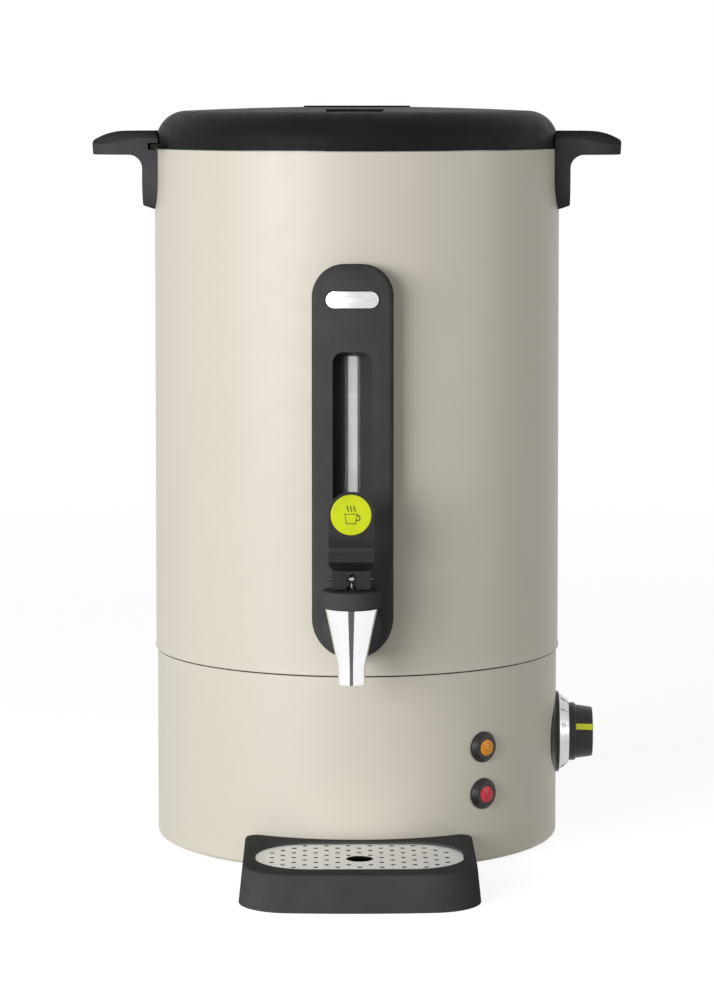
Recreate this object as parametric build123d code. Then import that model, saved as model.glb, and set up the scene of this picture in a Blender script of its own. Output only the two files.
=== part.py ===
from build123d import *
from math import asin, cos, degrees, radians, sin, sqrt, tan
import os

# A hot beverage boiler: a double-walled urn with a twist-lock lid, a spring-closed tap with a level
# gauge, a thermostat knob, two lamps and a loose drip tray. Millimetres, +Z up, the tap towards -Y and
# the knob towards +X. Every piece is drawn about the urn's upright axis with the table at zero. The
# export moves them all alike, so that the origin lies on the table in the middle of the footprint.

# Clearances
FIT_GAP = 0.1  # pieces fitted together and left there
RUN_GAP = 0.3  # pieces that move past each other
SHAFT_GAP = 0.05  # round shafts and pins in their holes
CUT_OVER = 8.0  # how far a cutter runs past what it cuts

# Jacket: upper shell, lower skirt and the ring that joins them
BODY_R = 135.0
SHELL_WALL = 1.0
SHELL_TOP = 461.5
SHELL_BEAD = 0.5
SHELL_BEAD_H = 3.0
SHELL_EDGE_R = 0.6
SEAM_GAP = 0.9
SEAM_INSET = 0.6
SKIRT_INSET = 1.0
SKIRT_WALL = 1.0
SKIRT_BOTTOM = 2.0
SKIRT_TOP = 127.0
SKIRT_EDGE_R = 3.0
SKIRT_LIP = 12.0
JOINT_RING_WALL = 1.2
JOINT_RING_REACH = 9.0

# Tank and heater
TANK_GAP = 7.0
TANK_WALL = 0.8
TANK_RISE = 10.0
TANK_CORNER_R = 12.0
TANK_FLANGE = 3.6
TANK_LIP_GAP = 1.0
HEATER_SHARE = 0.67  # heater plate's radius, of the tank's
HEATER_T = 8.0
HEATER_STUD_R = 3.0
HEATER_NUT_R = 6.0
HEATER_NUT_T = 5.0
ELEMENT_SHARE = 0.7  # heating ring's radius, of the heater plate's
ELEMENT_R = 4.0
ELEMENT_ARC = 340.0
ELEMENT_PIN_R = 2.0
ELEMENT_PIN_DROP = 18.0

# Base plate, feet and fasteners
PLATE_T = 1.2
FOOT_R = 9.0
FOOT_EDGE_R = 1.0
FOOT_NECK_R = 3.5
FOOT_HEAD_R = 5.0
FOOT_HEAD_H = 3.0
FOOT_INSET = 33.0
FOOT_COUNT = 4
TIE_ROD_R = 2.5
TIE_NUT_R = 4.6
TIE_NUT_T = 2.4
TIE_INSET = 23.0
TIE_COUNT = 3
BASE_SCREW_R = 1.75
BASE_SCREW_HEAD_R = 3.2
BASE_SCREW_HEAD_T = 1.4
BASE_SCREW_GRIP = 5.0
BASE_SCREW_COUNT = 4
BASE_SCREW_TURN = 20.0
SCREW_R = 2.0
SCREW_HEAD_R = 3.6
SCREW_HEAD_T = 2.2
SCREW_BITE = 5.0

# Lid
LID_INSET = 1.0
LID_H = 27.7
LID_WALL = 3.0
LID_CROWN = 3.8
LID_SHOULDER_R = 20.0
LID_RIB_T = 2.0
SEAL_W = 3.2
SEAL_T = 2.6
LINER_T = 0.8
LINER_DEPTH = 9.0
LINER_CLEAR = 1.2
GRIP_R = 40.0
GRIP_DEPTH = 12.0
GRIP_BAR_W = 24.0
GRIP_BAR_L = 71.0
GRIP_RISE = 0.6
GRIP_PAD_R = 8.0
GRIP_PAD_EDGE_R = 0.4
VENT_INSET = 21.0
VENT_L = 37.0
VENT_TOP_W = 36.0
VENT_FLOOR_W = 28.5
VENT_DEPTH = 4.0
VENT_HOLE_R = 1.5
VENT_HOLE_SPACING = 9.0
VENT_HOLE_COUNT = 3
LUG_T = 2.6
LUG_REACH = 6.5
LUG_SPAN = 8.0  # degrees
LUG_REST_GAP = 0.5  # degrees clear of the handle while the lid is unlocked
LOCK_TURN = 12.0  # degrees from unlocked to locked

# Handles
HANDLE_OUT = 41.3
HANDLE_W = 66.0
HANDLE_RISE = 11.5
HANDLE_DROP = 4.0
HANDLE_EDGE_T = 9.2
HANDLE_FLAT = 26.0
HANDLE_SWELL_R = 38.0
HANDLE_CROWN_OUT = 5.0
HANDLE_NOSE_R = 22.0
HANDLE_NOSE_LEAN = 1.2
HANDLE_EDGE_R = 1.0
HANDLE_COVE_R = 9.0
BRACKET_T = 6.4
BRACKET_DROP = 40.5
BRACKET_SLANT = 2.8
BRACKET_TIP_R = 20.0
LUG_SLOT_GAP = 0.9
LUG_SLOT_END = 2.0  # degrees past the locked lug
HANDLE_SCREW_DROP = 24.0
HANDLE_SCREW_SPREAD = 24.0

# Tap panel
PANEL_W = 51.5
PANEL_DROP = 70.9
PANEL_RISE = 13.6
PANEL_PROUD = 18.0
PANEL_SINK = 6.0
PANEL_CROWN_R = 80.0
PANEL_WALL = 2.4
PANEL_EDGE_R = 4.0
PANEL_ROLL_R = 18.0
PANEL_ROLL_RISE = 3.0
PANEL_TOP_SHARE = 0.79  # roundness of the panel's top, of half its width
PANEL_FOOT_SHARE = 0.98  # roundness of the panel's foot, of half its width
PANEL_BOSS_R = 4.5
PANEL_SCREW_INSET = 14.0
PANEL_SCREW_FOOT = 5.0
INLET_PAD_R = 18.6
INLET_PAD_PROUD = 5.5
INLET_PAD_EDGE_R = 1.5
BADGE_W = 33.2
BADGE_H = 10.4
BADGE_GROOVE = 0.8
BADGE_T = 1.2
BADGE_SINK = 0.8
BADGE_DROP = 21.7

# Level gauge
CHANNEL_W = 25.0
CHANNEL_DROP = 54.6
CHANNEL_RISE = 43.1
CHANNEL_CORNER_R = 7.0
CHANNEL_WALL = 1.6
GAUGE_OUT = 9.0
TUBE_R = 4.75
TUBE_WALL = 1.2
TUBE_GRIP = 8.0
STRIP_W = 6.0
STRIP_T = 0.5
GAUGE_CAP_WALL = 1.45
GAUGE_CAP_H = 11.0
TEE_GRIP = 10.0
TEE_PORT_R = 2.0

# Tap
TAP_OUT = 43.0
INLET_RISE = 34.0
STUB_R = 8.8
SHANK_R = 6.5
SHANK_BORE_R = 4.5
SHANK_GRIP = 14.0
SHANK_TAIL = 2.0
GASKET_R = 10.4
GASKET_T = 2.0
SHANK_NUT_R = 11.0
SHANK_NUT_T = 6.0
SPACER_R = 10.0
TAP_TOP_RISE = 50.4
TAP_TOP_R = 16.6
TAP_NECK_RISE = 13.2
TAP_NECK_ROUND_R = 14.0
SPOUT_R = 8.5
SPOUT_BORE_R = 6.2
SPOUT_RISE = 2.2
SPOUT_EDGE_R = 0.6
CHAMBER_R = 9.6
SEAT_RISE = 29.1
BONNET_R = 18.65
BONNET_H = 11.1
BONNET_EDGE_R = 1.4
BONNET_SPIGOT = 4.8
BUSH_R = 2.65
BUSH_H = 1.5
STEM_R = 1.5
CUP_R = 7.2
CUP_H = 6.0
CUP_LIP_R = 1.2
CUP_WEB = 1.5
SPRING_R = 4.2
SPRING_WIRE_R = 0.45
SPRING_TURNS = 5

# Lever, from its pin upwards; its depths are measured forward from the pin
PIN_RISE = 6.6
PIN_R = 1.25
LEVER_W = 28.0
FORK_W = 23.6
FORK_GAP = 6.0
EYE_R = 2.8
EYE_W = 3.0
LEVER_HEEL = 7.0
LEVER_FACE = 12.0
LEVER_RIDGE = 14.5
LEVER_BACK = 5.0
LEVER_WAIST = 9.0
FORK_TOP = 6.0
LIP_R = 6.0
RIDGE_RISE = 13.0
WAIST_RISE = 20.0
FACE_RISE = 27.0
LEVER_TOP = 55.7
LEVER_RIDGE_R = 1.2
LEVER_WAIST_R = 6.0
LEVER_EDGE_R = 1.0
SLOT_RISE = 5.0
DISC_R = 12.65
DISC_T = 1.5
DISC_SINK = 1.2
DISC_EDGE_R = 0.5
LEVER_TOP_SHARE = 0.98  # roundness of the lever's top, of half its width

# Thermostat and knob
KNOB_RISE = 66.5
FLANGE_R = 27.0
FLANGE_FLARE_R = 34.5
FLANGE_FLARE_DROP = 3.6
FLANGE_PROUD = 2.0
FLANGE_EDGE_R = 0.8
DIAL_R = 25.5
DIAL_FRONT_R = 20.75
DIAL_T = 6.4
DIAL_WALL = 2.2
KNOB_COLLAR_R = 19.35
KNOB_COLLAR_T = 4.4
KNOB_R = 18.0
KNOB_END_R = 16.4
KNOB_GRIP_T = 11.4
KNOB_EDGE_R = 1.2
KNOB_BORE_DEPTH = 11.0
POINTER_W = 4.0
POINTER_SINK = 1.2
POINTER_PROUD = 0.2
POINTER_TURN = 20.0  # degrees above the front
SHAFT_R = 3.0
SHAFT_TAIL = 12.0
THERMO_SET = 9.0
THERMO_D = 30.0
THERMO_W = 36.0
THERMO_H = 40.0
BUSHING_R = 5.0
BRACKET_W = 54.0
BRACKET_H = 18.0
DIAL_SCREW_OUT = 21.5
DIAL_SCREW_R = 1.5
DIAL_SCREW_HEAD_R = 3.0
DIAL_SCREW_BITE = 2.4
BULB_R = 3.2
BULB_L_SHARE = 1.0  # bulb's length, of the heating ring's radius
BULB_OUT_SHARE = 0.47  # bulb's distance from the middle, of the heating ring's radius
CAPILLARY_R = 0.8
CAPILLARY_BEND_R = 8.0
CLIP_W = 10.0
CLIP_WALL = 4.0
CAPILLARY_SIDE = 13.0
CAPILLARY_LIFT = 15.5

# Lamps
LAMP_TURN = 38.4  # degrees from the front towards the knob
AMBER_RISE = 75.3
RED_RISE = 44.9
BEZEL_R = 10.0
BEZEL_RIM = 1.2
BEZEL_FRONT_R = 7.4
BEZEL_PROUD = 4.2
BEZEL_EDGE_R = 1.2
BEZEL_BARREL_R = 7.0
BEZEL_BARREL_L = 14.0
LENS_R = 5.2
LENS_T = 4.0
LENS_DOME = 1.0
INSERT_R = 5.0
INSERT_L = 22.0
LAMP_NUT_R = 10.0
LAMP_NUT_T = 4.0

# Cable gland, terminal block and reset
GLAND_RISE = 28.0
GLAND_BARREL_R = 8.0
GLAND_BARREL_L = 14.0
GLAND_FLANGE_R = 12.0
GLAND_FLANGE_T = 4.0
GLAND_NUT_R = 10.5
GLAND_NUT_END_R = 7.5
GLAND_NUT_L = 8.0
GLAND_BORE_R = 5.6
GLAND_SEAL_WALL = 1.9
GLAND_LOCK_T = 4.0
TERMINAL_W = 44.0
TERMINAL_D = 20.0
TERMINAL_H = 18.0
TERMINAL_INSET = 43.0
TERMINAL_SPACING = 12.0
CUTOUT_W = 34.0
CUTOUT_H = 26.0
CUTOUT_INSET = 78.0
CUTOUT_BEHIND = 35.0
RESET_R = 3.0
RESET_L = 10.0
RESET_SINK = 1.2
RESET_TRAVEL = 2.0
WIRE_R = 1.2
WIRE_BEND_R = 6.0
WIRE_STANDOFF = 14.0
HEATER_WIRE_DROP = 16.0
THERMO_WIRE_DROP = 8.5
THERMO_WIRE_LIFT = 13.5
THERMO_WIRE_SPACING = 10.0

# Drip tray and grille
TRAY_W = 150.0
TRAY_REACH = 108.0
TRAY_H = 23.0
TRAY_DRAFT = 6.0  # degrees
TRAY_BOW = 5.0
TRAY_FRONT_R = 32.0
TRAY_BACK_R = 7.0
TRAY_EDGE_R = 2.0
TRAY_GAP = 0.8
TRAY_TURN = 1.6  # degrees that the loose tray stands askew of the tap
TRAY_FLOOR = 3.0
GRILLE_W = 130.0
GRILLE_D = 78.0
GRILLE_CORNER_R = 34.0
GRILLE_T = 0.8
GRILLE_SINK = 1.4
GRILLE_BACK = 9.4
GRILLE_LEDGE = 4.0
GRILLE_HOLE_SPACING = 6.85
GRILLE_HOLE_R = 1.6
GRILLE_MARGIN = 4.5
FINGER_HOLE_R = 8.4
FINGER_HOLE_AHEAD = 3.5
FINGER_HOLE_RIM = 4.0

# Radii and heights that follow from the sizes above
SHELL_IN = BODY_R - SHELL_WALL
SKIRT_R = BODY_R - SKIRT_INSET
SKIRT_IN = SKIRT_R - SKIRT_WALL
SHELL_BOTTOM = SKIRT_TOP + SEAM_GAP
PLATE_BOTTOM = SKIRT_BOTTOM + SKIRT_WALL
PLATE_TOP = PLATE_BOTTOM + PLATE_T
TANK_R = SHELL_IN - TANK_GAP
TANK_IN = TANK_R - TANK_WALL
TANK_FLOOR = SHELL_BOTTOM + TANK_RISE
TANK_RIM_R = TANK_R + TANK_FLANGE
TANK_RIM = SHELL_TOP + TANK_WALL
HEATER_R = TANK_R * HEATER_SHARE
HEATER_BOTTOM = TANK_FLOOR - HEATER_T
ELEMENT_RING_R = HEATER_R * ELEMENT_SHARE
ELEMENT_PIN_BOTTOM = HEATER_BOTTOM - ELEMENT_PIN_DROP
FOOT_CIRCLE_R = SKIRT_IN - FOOT_INSET
TIE_CIRCLE_R = SKIRT_IN - TIE_INSET
LID_R = BODY_R - LID_INSET
LID_BOTTOM = SHELL_TOP + RUN_GAP
LID_TOP = SHELL_TOP + LID_H
LID_IN = LID_R - LID_WALL
VENT_NEAR_R = LID_R - VENT_INSET
VENT_FAR_R = VENT_NEAR_R - VENT_L
SEAL_TOP = TANK_RIM + SEAL_T
LINER_FLANGE = SEAL_TOP + FIT_GAP
LUG_R = LID_R + LUG_REACH
LUG_START = degrees(asin(HANDLE_W / 2 / BODY_R)) + LUG_REST_GAP
PANEL_BOTTOM = SHELL_BOTTOM + PANEL_RISE
PANEL_TOP = SHELL_TOP - PANEL_DROP
PANEL_FRONT = BODY_R + PANEL_PROUD
PANEL_BACK = BODY_R - PANEL_SINK
PANEL_SCREW_HEIGHTS = (PANEL_BOTTOM + PANEL_SCREW_FOOT, PANEL_TOP - PANEL_SCREW_INSET)
GAUGE_Y = -(BODY_R + GAUGE_OUT)
CHANNEL_TOP = PANEL_TOP - CHANNEL_DROP
CHANNEL_FLOOR = BODY_R + GAUGE_OUT - TUBE_R - RUN_GAP - STRIP_T
INLET_Z = SHELL_BOTTOM + INLET_RISE
CHANNEL_BOTTOM = INLET_Z + CHANNEL_RISE
STUB_END = BODY_R + GASKET_T
TAP_Y = -(BODY_R + TAP_OUT)
TAP_TOP = SHELL_BOTTOM + TAP_TOP_RISE
TAP_NECK = SHELL_BOTTOM + TAP_NECK_RISE
SPOUT_BOTTOM = SHELL_BOTTOM + SPOUT_RISE
SEAT_Z = SHELL_BOTTOM + SEAT_RISE
BONNET_TOP = TAP_TOP + BONNET_H
CUP_BOTTOM = SEAT_Z + FIT_GAP
CUP_TOP = CUP_BOTTOM + CUP_H
SPIGOT_BOTTOM = TAP_TOP - BONNET_SPIGOT
PIN_Z = BONNET_TOP + PIN_RISE
TUBE_BOTTOM = INLET_Z + STUB_R + TEE_GRIP
TUBE_TOP = CHANNEL_TOP + CHANNEL_WALL + TUBE_GRIP
TEE_R = TUBE_R + GAUGE_CAP_WALL
KNOB_Z = SKIRT_BOTTOM + KNOB_RISE
FLANGE_BACK = sqrt(SKIRT_R ** 2 - FLANGE_FLARE_R ** 2) - CUT_OVER
FLANGE_FRONT = SKIRT_R + FLANGE_PROUD
DIAL_FRONT = FLANGE_FRONT + DIAL_T
KNOB_BACK = DIAL_FRONT + RUN_GAP
KNOB_SHOULDER = KNOB_BACK + KNOB_COLLAR_T
KNOB_END = KNOB_SHOULDER + KNOB_GRIP_T
THERMO_FRONT = SKIRT_IN - THERMO_SET
THERMO_BACK = THERMO_FRONT - THERMO_D
DIAL_SCREW_TIP = sqrt(SKIRT_R ** 2 - DIAL_SCREW_OUT ** 2) + DIAL_SCREW_BITE
BULB_L = ELEMENT_RING_R * BULB_L_SHARE
BULB_OUT = ELEMENT_RING_R * BULB_OUT_SHARE
BULB_Z = HEATER_BOTTOM - BULB_R - FIT_GAP
AMBER_Z = SKIRT_BOTTOM + AMBER_RISE
RED_Z = SKIRT_BOTTOM + RED_RISE
LENS_SEAT = SKIRT_R + BEZEL_PROUD - LENS_T
GLAND_Z = SKIRT_BOTTOM + GLAND_RISE
GLAND_END = SKIRT_R + GLAND_FLANGE_T + GLAND_NUT_L
TERMINAL_OUT = SKIRT_IN - TERMINAL_INSET
TERMINAL_TOP = PLATE_TOP + TERMINAL_H
HEATER_WIRE_Z = ELEMENT_PIN_BOTTOM - HEATER_WIRE_DROP
TRAY_FRONT = SKIRT_R + TRAY_REACH
GRILLE_TOP = TRAY_H - GRILLE_SINK
GRILLE_BOTTOM = GRILLE_TOP - GRILLE_T
GRILLE_Y = -(SKIRT_R + GRILLE_BACK + GRILLE_D / 2)
FINGER_HOLE_Y = GRILLE_Y - FINGER_HOLE_AHEAD
AXIS_Y = (TRAY_FRONT - GLAND_END) / 2

STANDING = (Align.CENTER, Align.CENTER, Align.MIN)
FROM_CORNER = (Align.MIN, Align.MIN, Align.MIN)


# Shapes that many pieces use


def post(radius, bottom, top, x=0, y=0):
    """A round bar that stands upright."""
    return Pos(x, y, bottom) * Cylinder(radius, top - bottom, align=STANDING)


def bar_x(radius, start, end, y=0, z=0):
    """A round bar along X."""
    return Pos(start, y, z) * Rot(0, 90, 0) * Cylinder(radius, end - start, align=STANDING)


def bar_y(radius, start, end, x=0, z=0):
    """A round bar along Y."""
    return Pos(x, end, z) * Rot(90, 0, 0) * Cylinder(radius, end - start, align=STANDING)


def block(x_span, y_span, z_span):
    """A box between two places on each axis."""
    low = [min(span) for span in (x_span, y_span, z_span)]
    size = [max(span) - min(span) for span in (x_span, y_span, z_span)]
    return Pos(*low) * Box(*size, align=FROM_CORNER)


def both_ways(half):
    """The span from minus to plus a half size."""
    return (-half, half)


def ring(outer, inner, bottom, top):
    """An upright tube."""
    return post(outer, bottom, top) - post(inner, bottom, top)


def outline(*corners):
    """A flat face through corners (x, y) or (x, y, radius), where a radius rounds its own corner."""
    spots = [Vector(corner[0], corner[1]) for corner in corners]
    runs = []
    for index, corner in enumerate(corners):
        spot = spots[index]
        radius = corner[2] if len(corner) > 2 else 0
        if radius == 0:
            runs.append([spot])
            continue
        before = (spots[index - 1] - spot).normalized()
        after = (spots[(index + 1) % len(spots)] - spot).normalized()
        half_turn = radians(before.get_angle(after)) / 2
        inward = (before + after).normalized()
        reach = radius / tan(half_turn)
        crest = spot + inward * (radius / sin(half_turn) - radius)
        runs.append([spot + before * reach, crest, spot + after * reach])
    edges = []
    for index, run in enumerate(runs):
        if len(run) == 3:
            edges.append(ThreePointArc(*run))
        edges.append(Line(run[-1], runs[(index + 1) % len(runs)][0]))
    return make_face(edges)


def spun(*corners):
    """A turned piece about the upright axis, from corners (radius, height) or (radius, height, rounding)."""
    return revolve(Plane.XZ * outline(*corners), Axis.Z)


def ball_radius(radius, rise):
    """The radius of the ball whose cap has a given radius and rise."""
    return (radius ** 2 + rise ** 2) / (2 * rise)


def ball_drop(ball, radius):
    """How far a ball has fallen from its top at a radius."""
    return ball - sqrt(ball ** 2 - radius ** 2)


def domed_post(radius, bottom, top, ball):
    """A round bar that stands upright under a cap of a ball."""
    edge = top - ball_drop(ball, radius)
    crown = ThreePointArc((0, top), (radius / 2, top - ball_drop(ball, radius / 2)), (radius, edge))
    foot = [Line((radius, edge), (radius, bottom)), Line((radius, bottom), (0, bottom))]
    sides = foot + [Line((0, bottom), (0, top))]
    return revolve(Plane.XZ * make_face([crown] + sides), Axis.Z)


def to_front(shape):
    """Turn an upright piece so that its up points to the front."""
    return Rot(90, 0, 0) * shape


def to_back(shape):
    """Turn an upright piece so that its up points to the back."""
    return Rot(-90, 0, 0) * shape


def to_right(shape):
    """Turn an upright piece so that its up points to the right."""
    return Rot(0, 90, 0) * shape


def around(count, radius, first_turn=0):
    """Places spaced evenly on a circle about the urn's axis."""
    turns = [radians(first_turn + 360 * index / count) for index in range(count)]
    return [(radius * cos(turn), radius * sin(turn)) for turn in turns]


def hex_nut(radius, bore, bottom, top):
    """An upright hexagon nut."""
    prism = extrude(Pos(0, 0, bottom) * RegularPolygon(radius, 6), amount=top - bottom)
    return prism - post(bore, bottom - CUT_OVER, top + CUT_OVER)


def screw(radius, head_radius, head_height, length):
    """A pan-head screw with its tip upwards and the seat of its head at zero."""
    return post(head_radius, -head_height, 0) + post(radius, 0, length)


def tube_along(points, radius, bend):
    """A round bar along straight runs with tangent bends."""
    path = FilletPolyline(*points, radius=bend)
    section = Plane(origin=path @ 0, z_dir=path % 0) * Circle(radius)
    return sweep(section, path=path)


def bundle(pieces):
    """Several separate solids that share one node."""
    return Compound([solid for piece in pieces for solid in piece.solids()])


# Places that several pieces share

LID_BALL_R = ball_radius(LID_R, LID_CROWN)

FOOT_PLACES = around(FOOT_COUNT, FOOT_CIRCLE_R, 180 / FOOT_COUNT)
TIE_PLACES = around(TIE_COUNT, TIE_CIRCLE_R, -90)
BASE_SCREW_PLACES = around(BASE_SCREW_COUNT, SKIRT_IN - SKIRT_LIP / 2, BASE_SCREW_TURN)
HANDLE_SCREW_PLACES = [(side, SHELL_TOP - HANDLE_SCREW_DROP) for side in both_ways(HANDLE_SCREW_SPREAD / 2)]
RESET_PLACE = (CUTOUT_INSET - SKIRT_IN, CUTOUT_BEHIND)
LAMP_HEIGHTS = (AMBER_Z, RED_Z)
PIN_GAP_TURN = (360 - ELEMENT_ARC) / 2
ELEMENT_ENDS = [
    (side * ELEMENT_RING_R * sin(radians(PIN_GAP_TURN)), ELEMENT_RING_R * cos(radians(PIN_GAP_TURN)))
    for side in (-1, 1)
]


def at_lamp(shape, height):
    """Move a piece that points to the front onto a lamp's place on the skirt."""
    return Pos(0, 0, height) * Rot(0, 0, LAMP_TURN) * shape


# Jacket


def outer_shell():
    wall = spun(
        (SHELL_IN, SHELL_BOTTOM),
        (BODY_R + SHELL_BEAD, SHELL_BOTTOM, SHELL_BEAD),
        (BODY_R + SHELL_BEAD, SHELL_BOTTOM + SHELL_BEAD_H / 2),
        (BODY_R, SHELL_BOTTOM + SHELL_BEAD_H),
        (BODY_R, SHELL_TOP, SHELL_EDGE_R),
        (TANK_R + TANK_LIP_GAP, SHELL_TOP),
        (TANK_R + TANK_LIP_GAP, SHELL_TOP - SHELL_WALL),
        (SHELL_IN, SHELL_TOP - SHELL_WALL),
    )
    wall -= bar_y(SHANK_R + FIT_GAP, -BODY_R - CUT_OVER, 0, z=INLET_Z)
    for height in PANEL_SCREW_HEIGHTS:
        wall -= bar_y(SCREW_R + FIT_GAP, -BODY_R - CUT_OVER, 0, z=height)
    for side, height in HANDLE_SCREW_PLACES:
        wall -= bar_x(SCREW_R + FIT_GAP, -BODY_R - CUT_OVER, BODY_R + CUT_OVER, side, height)
    return wall


def base_skirt():
    wall = spun(
        (SKIRT_IN - SKIRT_LIP, SKIRT_BOTTOM),
        (SKIRT_R, SKIRT_BOTTOM, SKIRT_EDGE_R),
        (SKIRT_R, SKIRT_TOP),
        (SKIRT_IN, SKIRT_TOP),
        (SKIRT_IN, PLATE_BOTTOM, SKIRT_EDGE_R - SKIRT_WALL),
        (SKIRT_IN - SKIRT_LIP, PLATE_BOTTOM),
    )
    for height in LAMP_HEIGHTS:
        wall -= at_lamp(bar_y(BEZEL_BARREL_R + FIT_GAP, -SKIRT_R - CUT_OVER, 0), height)
    wall -= bar_x(BUSHING_R + FIT_GAP, 0, SKIRT_R + CUT_OVER, z=KNOB_Z)
    for side in both_ways(DIAL_SCREW_OUT):
        wall -= bar_x(DIAL_SCREW_R + FIT_GAP, 0, SKIRT_R + CUT_OVER, side, KNOB_Z)
    wall -= bar_y(GLAND_BARREL_R + FIT_GAP, 0, SKIRT_R + CUT_OVER, z=GLAND_Z)
    for x, y in BASE_SCREW_PLACES:
        wall -= post(BASE_SCREW_R + FIT_GAP, 0, PLATE_TOP, x, y)
    return wall


def joint_ring():
    inner = SKIRT_IN - FIT_GAP - JOINT_RING_WALL
    return spun(
        (inner, SKIRT_TOP - JOINT_RING_REACH),
        (SKIRT_IN - FIT_GAP, SKIRT_TOP - JOINT_RING_REACH),
        (SKIRT_IN - FIT_GAP, SKIRT_TOP),
        (BODY_R - SEAM_INSET, SKIRT_TOP),
        (BODY_R - SEAM_INSET, SHELL_BOTTOM),
        (SHELL_IN - FIT_GAP, SHELL_BOTTOM),
        (SHELL_IN - FIT_GAP, SHELL_BOTTOM + JOINT_RING_REACH),
        (inner, SHELL_BOTTOM + JOINT_RING_REACH),
    )


# Tank and heater


def tank():
    vessel = spun(
        (0, TANK_FLOOR),
        (TANK_R, TANK_FLOOR, TANK_CORNER_R),
        (TANK_R, SHELL_TOP),
        (TANK_RIM_R, SHELL_TOP),
        (TANK_RIM_R, TANK_RIM),
        (TANK_IN, TANK_RIM),
        (TANK_IN, TANK_FLOOR + TANK_WALL, TANK_CORNER_R - TANK_WALL),
        (0, TANK_FLOOR + TANK_WALL),
    )
    stud = post(HEATER_STUD_R, HEATER_BOTTOM - HEATER_NUT_T - HEATER_STUD_R, TANK_FLOOR)
    return vessel + stud - bar_y(SHANK_R + FIT_GAP, -BODY_R, 0, z=INLET_Z)


def heater_plate():
    plate = post(HEATER_R, HEATER_BOTTOM, TANK_FLOOR)
    plate -= post(HEATER_STUD_R + FIT_GAP, HEATER_BOTTOM - CUT_OVER, TANK_FLOOR)
    return plate - Pos(0, 0, HEATER_BOTTOM) * Torus(ELEMENT_RING_R, ELEMENT_R + FIT_GAP)


def heater_element():
    section = Plane.XZ * Pos(ELEMENT_RING_R, HEATER_BOTTOM) * Circle(ELEMENT_R)
    coil = Rot(0, 0, 90 + PIN_GAP_TURN) * revolve(section, Axis.Z, revolution_arc=ELEMENT_ARC)
    for x, y in ELEMENT_ENDS:
        coil += Pos(x, y, HEATER_BOTTOM) * Sphere(ELEMENT_R)
        coil += post(ELEMENT_PIN_R, ELEMENT_PIN_BOTTOM, HEATER_BOTTOM, x, y)
    return coil


def heater_nut():
    return hex_nut(HEATER_NUT_R, HEATER_STUD_R + FIT_GAP, HEATER_BOTTOM - HEATER_NUT_T, HEATER_BOTTOM)


# Base plate, feet and fasteners


def base_plate():
    plate = post(SKIRT_IN - SKIRT_EDGE_R, PLATE_BOTTOM, PLATE_TOP)
    for x, y in FOOT_PLACES:
        plate -= post(FOOT_NECK_R + FIT_GAP, 0, PLATE_TOP + CUT_OVER, x, y)
    for x, y in TIE_PLACES:
        plate -= post(TIE_ROD_R + FIT_GAP, 0, PLATE_TOP + CUT_OVER, x, y)
    for x, y in BASE_SCREW_PLACES:
        plate -= post(BASE_SCREW_R + FIT_GAP, 0, PLATE_TOP + CUT_OVER, x, y)
    return plate - post(RESET_R + RUN_GAP, 0, PLATE_TOP + CUT_OVER, *RESET_PLACE)


def rubber_feet():
    foot = spun(
        (0, 0),
        (FOOT_R, 0, FOOT_EDGE_R),
        (FOOT_R, PLATE_BOTTOM),
        (FOOT_NECK_R, PLATE_BOTTOM),
        (FOOT_NECK_R, PLATE_TOP),
        (FOOT_HEAD_R, PLATE_TOP),
        (FOOT_NECK_R, PLATE_TOP + FOOT_HEAD_H),
        (0, PLATE_TOP + FOOT_HEAD_H),
    )
    return bundle([Pos(x, y, 0) * foot for x, y in FOOT_PLACES])


def tie_rods():
    return bundle([post(TIE_ROD_R, PLATE_BOTTOM - TIE_NUT_T, TANK_FLOOR, x, y) for x, y in TIE_PLACES])


def tie_nuts():
    nut = hex_nut(TIE_NUT_R, TIE_ROD_R + FIT_GAP, PLATE_BOTTOM - TIE_NUT_T, PLATE_BOTTOM)
    return bundle([Pos(x, y, 0) * nut for x, y in TIE_PLACES])


def base_screws():
    fastener = screw(BASE_SCREW_R, BASE_SCREW_HEAD_R, BASE_SCREW_HEAD_T, BASE_SCREW_GRIP)
    return bundle([Pos(x, y, SKIRT_BOTTOM) * fastener for x, y in BASE_SCREW_PLACES])


# Lid


def lid_drop(radius):
    """How far the lid's dome has fallen at a radius."""
    return ball_drop(LID_BALL_R, radius)


def lid_dome(radius, bottom, top, shoulder):
    """A turned solid under a shallow dome with a rounded shoulder."""
    solid = domed_post(radius, bottom, top, LID_BALL_R)
    rims = solid.edges().filter_by(lambda rim: rim.is_closed)
    return fillet(rims.sort_by(Axis.Z)[-1], shoulder)


def vent_recess(wall):
    """The recess in the lid's front, or the tub a wall thickness outside it."""
    floor = LID_TOP - lid_drop(VENT_NEAR_R) - VENT_DEPTH
    slope = (VENT_TOP_W - VENT_FLOOR_W) / 2 / VENT_DEPTH
    low = floor - wall
    high = LID_TOP + CUT_OVER
    half_low = VENT_FLOOR_W / 2 + wall - wall * slope
    half_high = half_low + slope * (high - low)
    face = outline((-half_low, low), (half_low, low), (half_high, high), (-half_high, high))
    recess = extrude(Plane.XZ.offset(VENT_FAR_R - wall) * face, amount=VENT_NEAR_R - VENT_FAR_R + 2 * wall)
    return recess, floor


def lid_lug():
    """One bayonet lug, drawn at the right and standing just behind the handle."""
    band = ring(LUG_R, LID_IN + LID_WALL / 2, LID_BOTTOM, LID_BOTTOM + LUG_T)
    turns = [radians(LUG_START), radians(LUG_START + LUG_SPAN)]
    far = LUG_R + CUT_OVER
    wedge = outline((0, 0), *[(far * cos(turn), far * sin(turn)) for turn in turns])
    return band & extrude(Pos(0, 0, LID_BOTTOM) * wedge, amount=LUG_T)


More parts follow.
